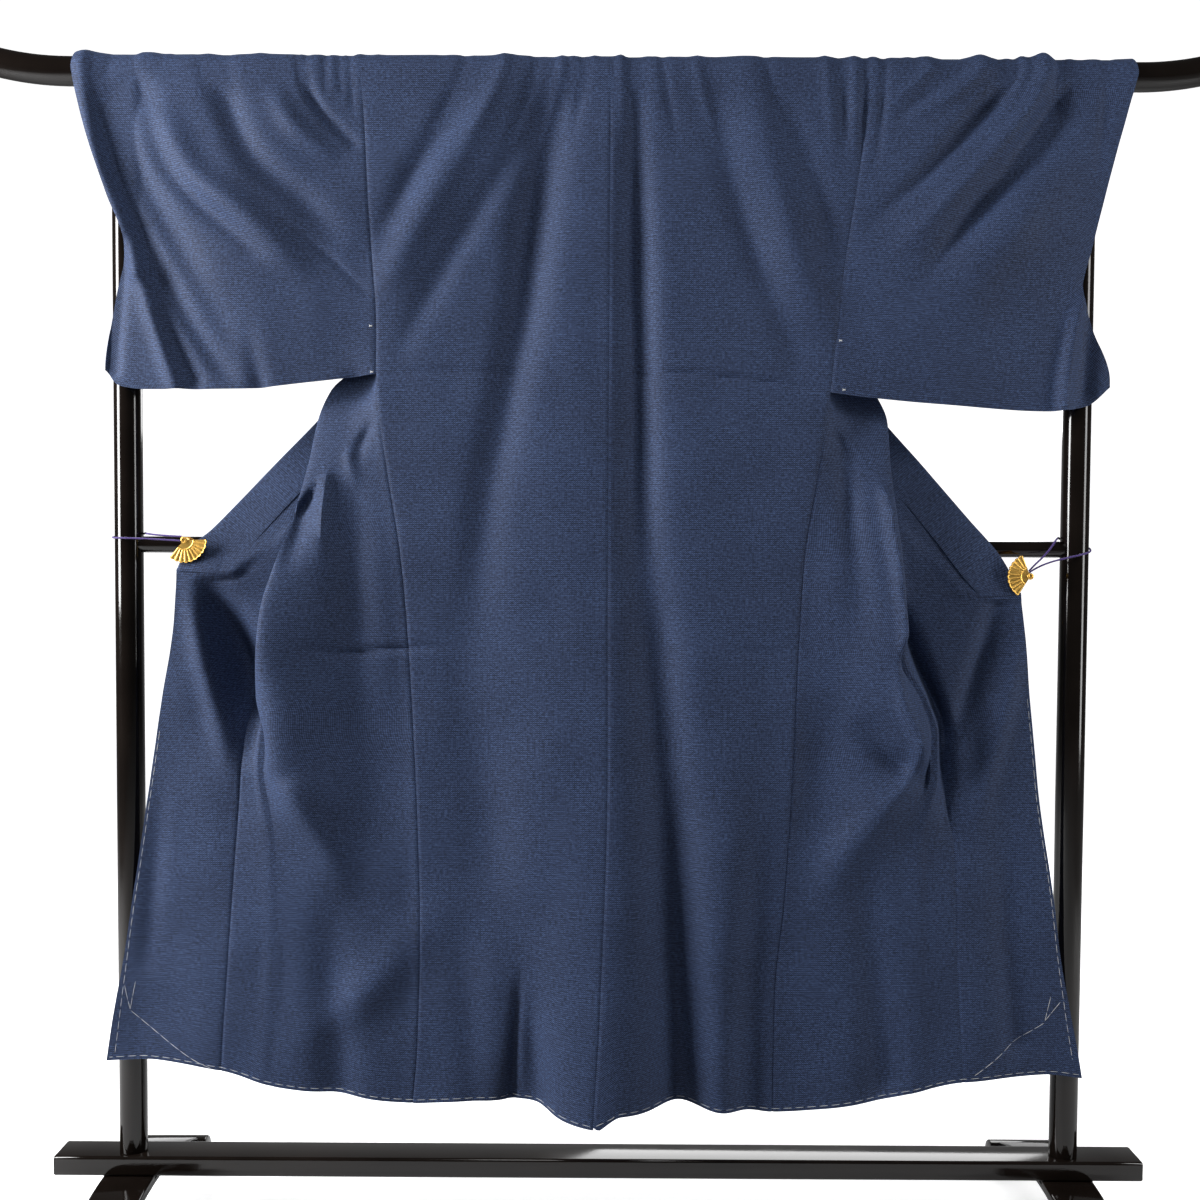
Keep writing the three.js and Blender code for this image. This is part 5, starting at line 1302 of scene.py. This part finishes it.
def make_uprights_and_bars():
    """Uprights saddled under the rail, the crossbar saddled between them, and the base rail."""
    for side in SIDES:
        x = SIGN[side] * UPRIGHT_X
        post = saddle_bar(UPRIGHT_RADIUS, BASE["top"] + PART_GAP, RAIL_Z, (x, 0), "z",
                          high_saddle=RAIL_RADIUS + PART_GAP)
        lacquered(f"post_{side}", [post], [f"upright_{side}"])
    reach = UPRIGHT_RADIUS + PART_GAP
    bar = saddle_bar(CROSSBAR_RADIUS, -UPRIGHT_X, UPRIGHT_X, (0, CROSSBAR_Z), "x", reach, reach, 56)
    lacquered("cross_rail", [bar], ["crossbar"])
    x = np.linspace(-BASE["half_length"], BASE["half_length"], 31)
    path = stacked(x, 0, (BASE["top"] + BASE["bottom"]) / 2)
    base = rounded_bar(path, (0, 1, 0), (0, 0, 1), BASE["depth"], BASE["top"] - BASE["bottom"], 4, 3)
    lacquered("base_bar", [base], ["base_rail"])


def make_foot(side):
    """An arched strip under the base rail with a round bar, flat underneath, across each end."""
    x = SIGN[side] * UPRIGHT_X
    crown = BASE["bottom"] - PART_GAP - FOOT["thick"] / 2
    rise = crown - FOOT["end_z"]
    radius = (FOOT["bar_y"] ** 2 + rise**2) / (2 * rise)
    half = math.asin(FOOT["bar_y"] / radius)
    a = np.linspace(-half, half, 41)
    path = stacked(x, radius * np.sin(a), crown - radius + radius * np.cos(a))
    parts = [rounded_bar(path, (1, 0, 0), stacked(0, np.sin(a), np.cos(a)), FOOT["width"], FOOT["thick"], 3, 0.5)]
    angle = ring_angles(64)
    half_bar = FOOT["bar_length"] / 2
    ends = [(half_bar, 0.02), (half_bar, 0.5), (half_bar, 0.9), (half_bar - 0.6, 0.96), (half_bar - 2, 1.0)]
    for end in (-1, 1):
        rings = []
        for at, share in [(-h, s) for h, s in ends] + [(h, s) for h, s in reversed(ends)]:
            y = end * FOOT["bar_y"] + FOOT["bar_radius"] * share * np.cos(angle)
            z = np.maximum(FOOT["bar_z"] + FOOT["bar_radius"] * share * np.sin(angle), 0)
            rings.append(stacked(x + at, y, z))
        parts.append(swept(rings))
    y = np.linspace(-FOOT_SEAT["length"] / 2, FOOT_SEAT["length"] / 2, 5)
    seat = stacked(x, y, BASE["bottom"] - PART_GAP - FOOT_SEAT["height"] / 2)
    parts.append(rounded_bar(seat, (1, 0, 0), (0, 0, 1), FOOT["width"], FOOT_SEAT["height"], 1.2, 1))
    return lacquered(f"base_foot_{side}", parts, [f"foot_{side}"])


# ---- the add-on ----

def colour_property(name, description, default):
    """A colour property in linear values."""
    return bpy.props.FloatVectorProperty(name=name, description=description, subtype="COLOR", size=3, min=0, max=1,
                                         default=default)


class KimonoLooks(bpy.types.PropertyGroup):
    """Sizes and colours of the garment and the stand."""

    cloth_thickness: bpy.props.FloatProperty(name="Cloth thickness", description="Thickness of the cloth, in mm",
                                             default=1.0, min=0.4, max=1.6)
    crease_strength: bpy.props.FloatProperty(name="Crease strength", description="Depth of the creases, as a factor",
                                             default=2.0, min=0, max=2.5)
    weave_pitch: bpy.props.FloatProperty(name="Weave pitch", description="Height of one rung of the ladder weave",
                                         subtype="DISTANCE", default=0.0026, min=0.001, max=0.01, precision=4)
    thread_thickness: bpy.props.FloatProperty(name="Thread thickness", description="Basting thread, in mm",
                                              default=0.55, min=0.2, max=2)
    cloth_dark: colour_property("Cloth dark", "Darkest yarn of the cloth", (0.0050, 0.0075, 0.0185))
    cloth_mid: colour_property("Cloth middle", "Middle tone of the cloth", (0.0205, 0.0330, 0.0780))
    cloth_light: colour_property("Cloth light", "Lightest yarn of the cloth", (0.078, 0.127, 0.272))
    lacquer: colour_property("Lacquer", "Black lacquer of the stand", (0.005, 0.0035, 0.0028))
    gold: colour_property("Gilt", "Gilt brass of the clips", (0.82, 0.50, 0.12))
    cord: colour_property("Cord", "Purple cord of the clips", (0.06, 0.022, 0.22))
    thread: colour_property("Thread", "White basting thread", (0.75, 0.76, 0.78))


class KimonoStage(bpy.types.PropertyGroup):
    """Lights and camera of the stage."""

    key_power: bpy.props.FloatProperty(name="Key power", description="Power of the left soft box", subtype="POWER",
                                       default=104, min=0)
    fill_power: bpy.props.FloatProperty(name="Fill power", description="Power of the right soft box",
                                        subtype="POWER", default=24, min=0)
    top_power: bpy.props.FloatProperty(name="Top power", description="Power of the overhead light", subtype="POWER",
                                       default=18, min=0)
    rear_power: bpy.props.FloatProperty(name="Rear power", description="Power of the soft box behind", subtype="POWER",
                                        default=45, min=0)
    focal_length: bpy.props.FloatProperty(name="Focal length", description="Lens of the camera, in mm",
                                          default=37.5, min=10, max=200)


def looks():
    """The garment's settings."""
    return bpy.context.scene.kimono_looks


def new_light(name, place, target, size, power):
    """A rectangular area light that faces a target and that the camera doesn't see."""
    data = bpy.data.lights.new(name, "AREA")
    data.shape = "RECTANGLE"
    data.size, data.size_y = size
    data.energy = power
    light = bpy.data.objects.new(name, data)
    light.location = place
    light.rotation_euler = (Vector(target) - Vector(place)).to_track_quat("-Z", "Y").to_euler()
    light.visible_camera = False
    bpy.context.scene.collection.objects.link(light)


def make_camera(scene):
    """The camera behind the garment, pitched down and rolled a little."""
    data = bpy.data.cameras.new("camera")
    data.sensor_width = 36
    data.lens = scene.kimono_stage.focal_length
    data.clip_end = 50
    camera = bpy.data.objects.new("camera", data)
    camera.location = CAMERA["place"]
    pitch, roll = math.radians(CAMERA["pitch"]), math.radians(CAMERA["roll"])
    right = Vector((math.cos(roll), math.sin(pitch) * math.sin(roll), math.cos(pitch) * math.sin(roll)))
    ahead = Vector((0, math.cos(pitch), -math.sin(pitch)))
    camera.rotation_mode = "QUATERNION"
    camera.rotation_quaternion = Matrix((right, right.cross(ahead), -ahead)).transposed().to_quaternion()
    scene.collection.objects.link(camera)
    scene.camera = camera
    scene.view_settings.view_transform = "Standard"


def make_backdrop():
    """A floor that turns up in a quarter circle far behind the stand."""
    bend = np.linspace(0, math.pi / 2, 12)
    profile = np.concatenate([[(-4500, 0)], np.stack([3000 + 700 * np.sin(bend), 700 - 700 * np.cos(bend)], -1),
                              [(3700, 6000)]])
    grid = stacked(np.linspace(-5000, 5000, 3), profile[:, :1], profile[:, 1:])
    floor = make_object("backdrop", grid.reshape(-1, 3), grid_quads(len(profile), 3)[:, ::-1])
    floor.data.materials.append(stage_material())
    floor.visible_diffuse = False


def make_world():
    """A room that is white to the camera and dim to everything else."""
    world = bpy.data.worlds.new("soft_room")
    world.use_nodes = True
    tree = world.node_tree
    background = tree.nodes["Background"].inputs
    tree.links.new(math_node(tree, "MULTIPLY_ADD", camera_ray(tree), 0.95, 0.05), background["Strength"])
    background["Color"].default_value = (1, 1, 1, 1)
    return world


class KIMONO_OT_stage(bpy.types.Operator):
    """Camera, pale backdrop and soft studio lights"""

    bl_idname = "kimono.stage"
    bl_label = "Stage"

    def execute(self, context):
        """Makes the camera, the backdrop, the soft boxes and the world."""
        make_camera(context.scene)
        make_backdrop()
        for name, (place, target, size, power) in LIGHTS.items():
            new_light(name, place, target, size, getattr(context.scene.kimono_stage, power))
        context.scene.world = make_world()
        return {"FINISHED"}


class KIMONO_OT_cords(bpy.types.Operator):
    """The clips' two purple cords"""

    bl_idname = "kimono.cords"
    bl_label = "Cords"

    def execute(self, context):
        """Each cord leaves its clip, goes round the upright and comes back."""
        for side in SIDES:
            make_cord(side)
        return {"FINISHED"}


class KIMONO_OT_cloth(bpy.types.Operator):
    """Body, sleeves, overlap panels and collar"""

    bl_idname = "kimono.cloth"
    bl_label = "Cloth"

    def execute(self, context):
        """Makes each piece."""
        for side in SIDES:
            body = finish(make_body(side), "navy_cloth", [f"body_{side}"])
            okumi = finish(make_okumi(side), "navy_cloth", [f"okumi_{side}"])
            sleeve = finish(make_sleeve(side), "navy_cloth", [f"sleeve_{side}"])
        collar = finish(make_collar(), "navy_cloth", ["collar"])
        return {"FINISHED"}


class KIMONO_OT_threads(bpy.types.Operator):
    """White basting threads and tacks"""

    bl_idname = "kimono.threads"
    bl_label = "Threads"

    def execute(self, context):
        """Lays the threads on the cloth that is there already."""
        made = context.scene.objects
        for side in SIDES:
            cloth = [made[f"{panel}_cloth_{side}"] for panel in ("body", "okumi")]
            make_threads(side, cloth_tree(cloth))
            make_armhole_stitches(side, cloth_tree([*cloth, made[f"sleeve_cloth_{side}"]]))
        return {"FINISHED"}


class KIMONO_OT_clips(bpy.types.Operator):
    """Gilt fan clips"""

    bl_idname = "kimono.clips"
    bl_label = "Clips"

    def execute(self, context):
        """Pleated fans in front; the jaws keep their shape and get the gilt finish."""
        for side in SIDES:
            make_fan(side)
            jaw = frame["nodes"][f"clip_jaw_{side}"]
            jaw.data.materials.clear()
            jaw.data.materials.append(made_materials["gold_metal"])
        return {"FINISHED"}


class KIMONO_OT_stand(bpy.types.Operator):
    """Lacquered stand"""

    bl_idname = "kimono.stand"
    bl_label = "Stand"

    def execute(self, context):
        """Rail, uprights, crossbar, base rail and feet."""
        make_top_rail()
        make_uprights_and_bars()
        for side in SIDES:
            make_foot(side)
        return {"FINISHED"}


class KIMONO_PT_panel(bpy.types.Panel):
    """Sidebar panel with the kimono's steps and settings"""

    bl_idname = "KIMONO_PT_panel"
    bl_label = "Kimono"
    bl_space_type = "VIEW_3D"
    bl_region_type = "UI"
    bl_category = "Kimono"

    def draw(self, context):
        """Lists the settings and the steps."""
        for group in (context.scene.kimono_looks, context.scene.kimono_stage):
            for name in group.__annotations__:
                self.layout.prop(group, name)
        for operator in OPERATORS:
            self.layout.operator(operator.bl_idname)


OPERATORS = (KIMONO_OT_stage, KIMONO_OT_cords, KIMONO_OT_cloth, KIMONO_OT_threads, KIMONO_OT_clips,
             KIMONO_OT_stand)
CLASSES = (KimonoLooks, KimonoStage, *OPERATORS, KIMONO_PT_panel)


def register():
    """Registers the classes and the settings."""
    for cls in CLASSES:
        bpy.utils.register_class(cls)
    bpy.types.Scene.kimono_looks = bpy.props.PointerProperty(type=KimonoLooks)
    bpy.types.Scene.kimono_stage = bpy.props.PointerProperty(type=KimonoStage)


def unregister():
    """Takes them away again."""
    del bpy.types.Scene.kimono_stage
    del bpy.types.Scene.kimono_looks
    for cls in reversed(CLASSES):
        bpy.utils.unregister_class(cls)


def main():
    """Builds everything in order."""
    register()
    bpy.ops.kimono.stage()
    bpy.ops.kimono.cords()
    bpy.ops.kimono.cloth()
    bpy.ops.kimono.threads()
    bpy.ops.kimono.clips()
    bpy.ops.kimono.stand()


if __name__ == "__main__":
    main()
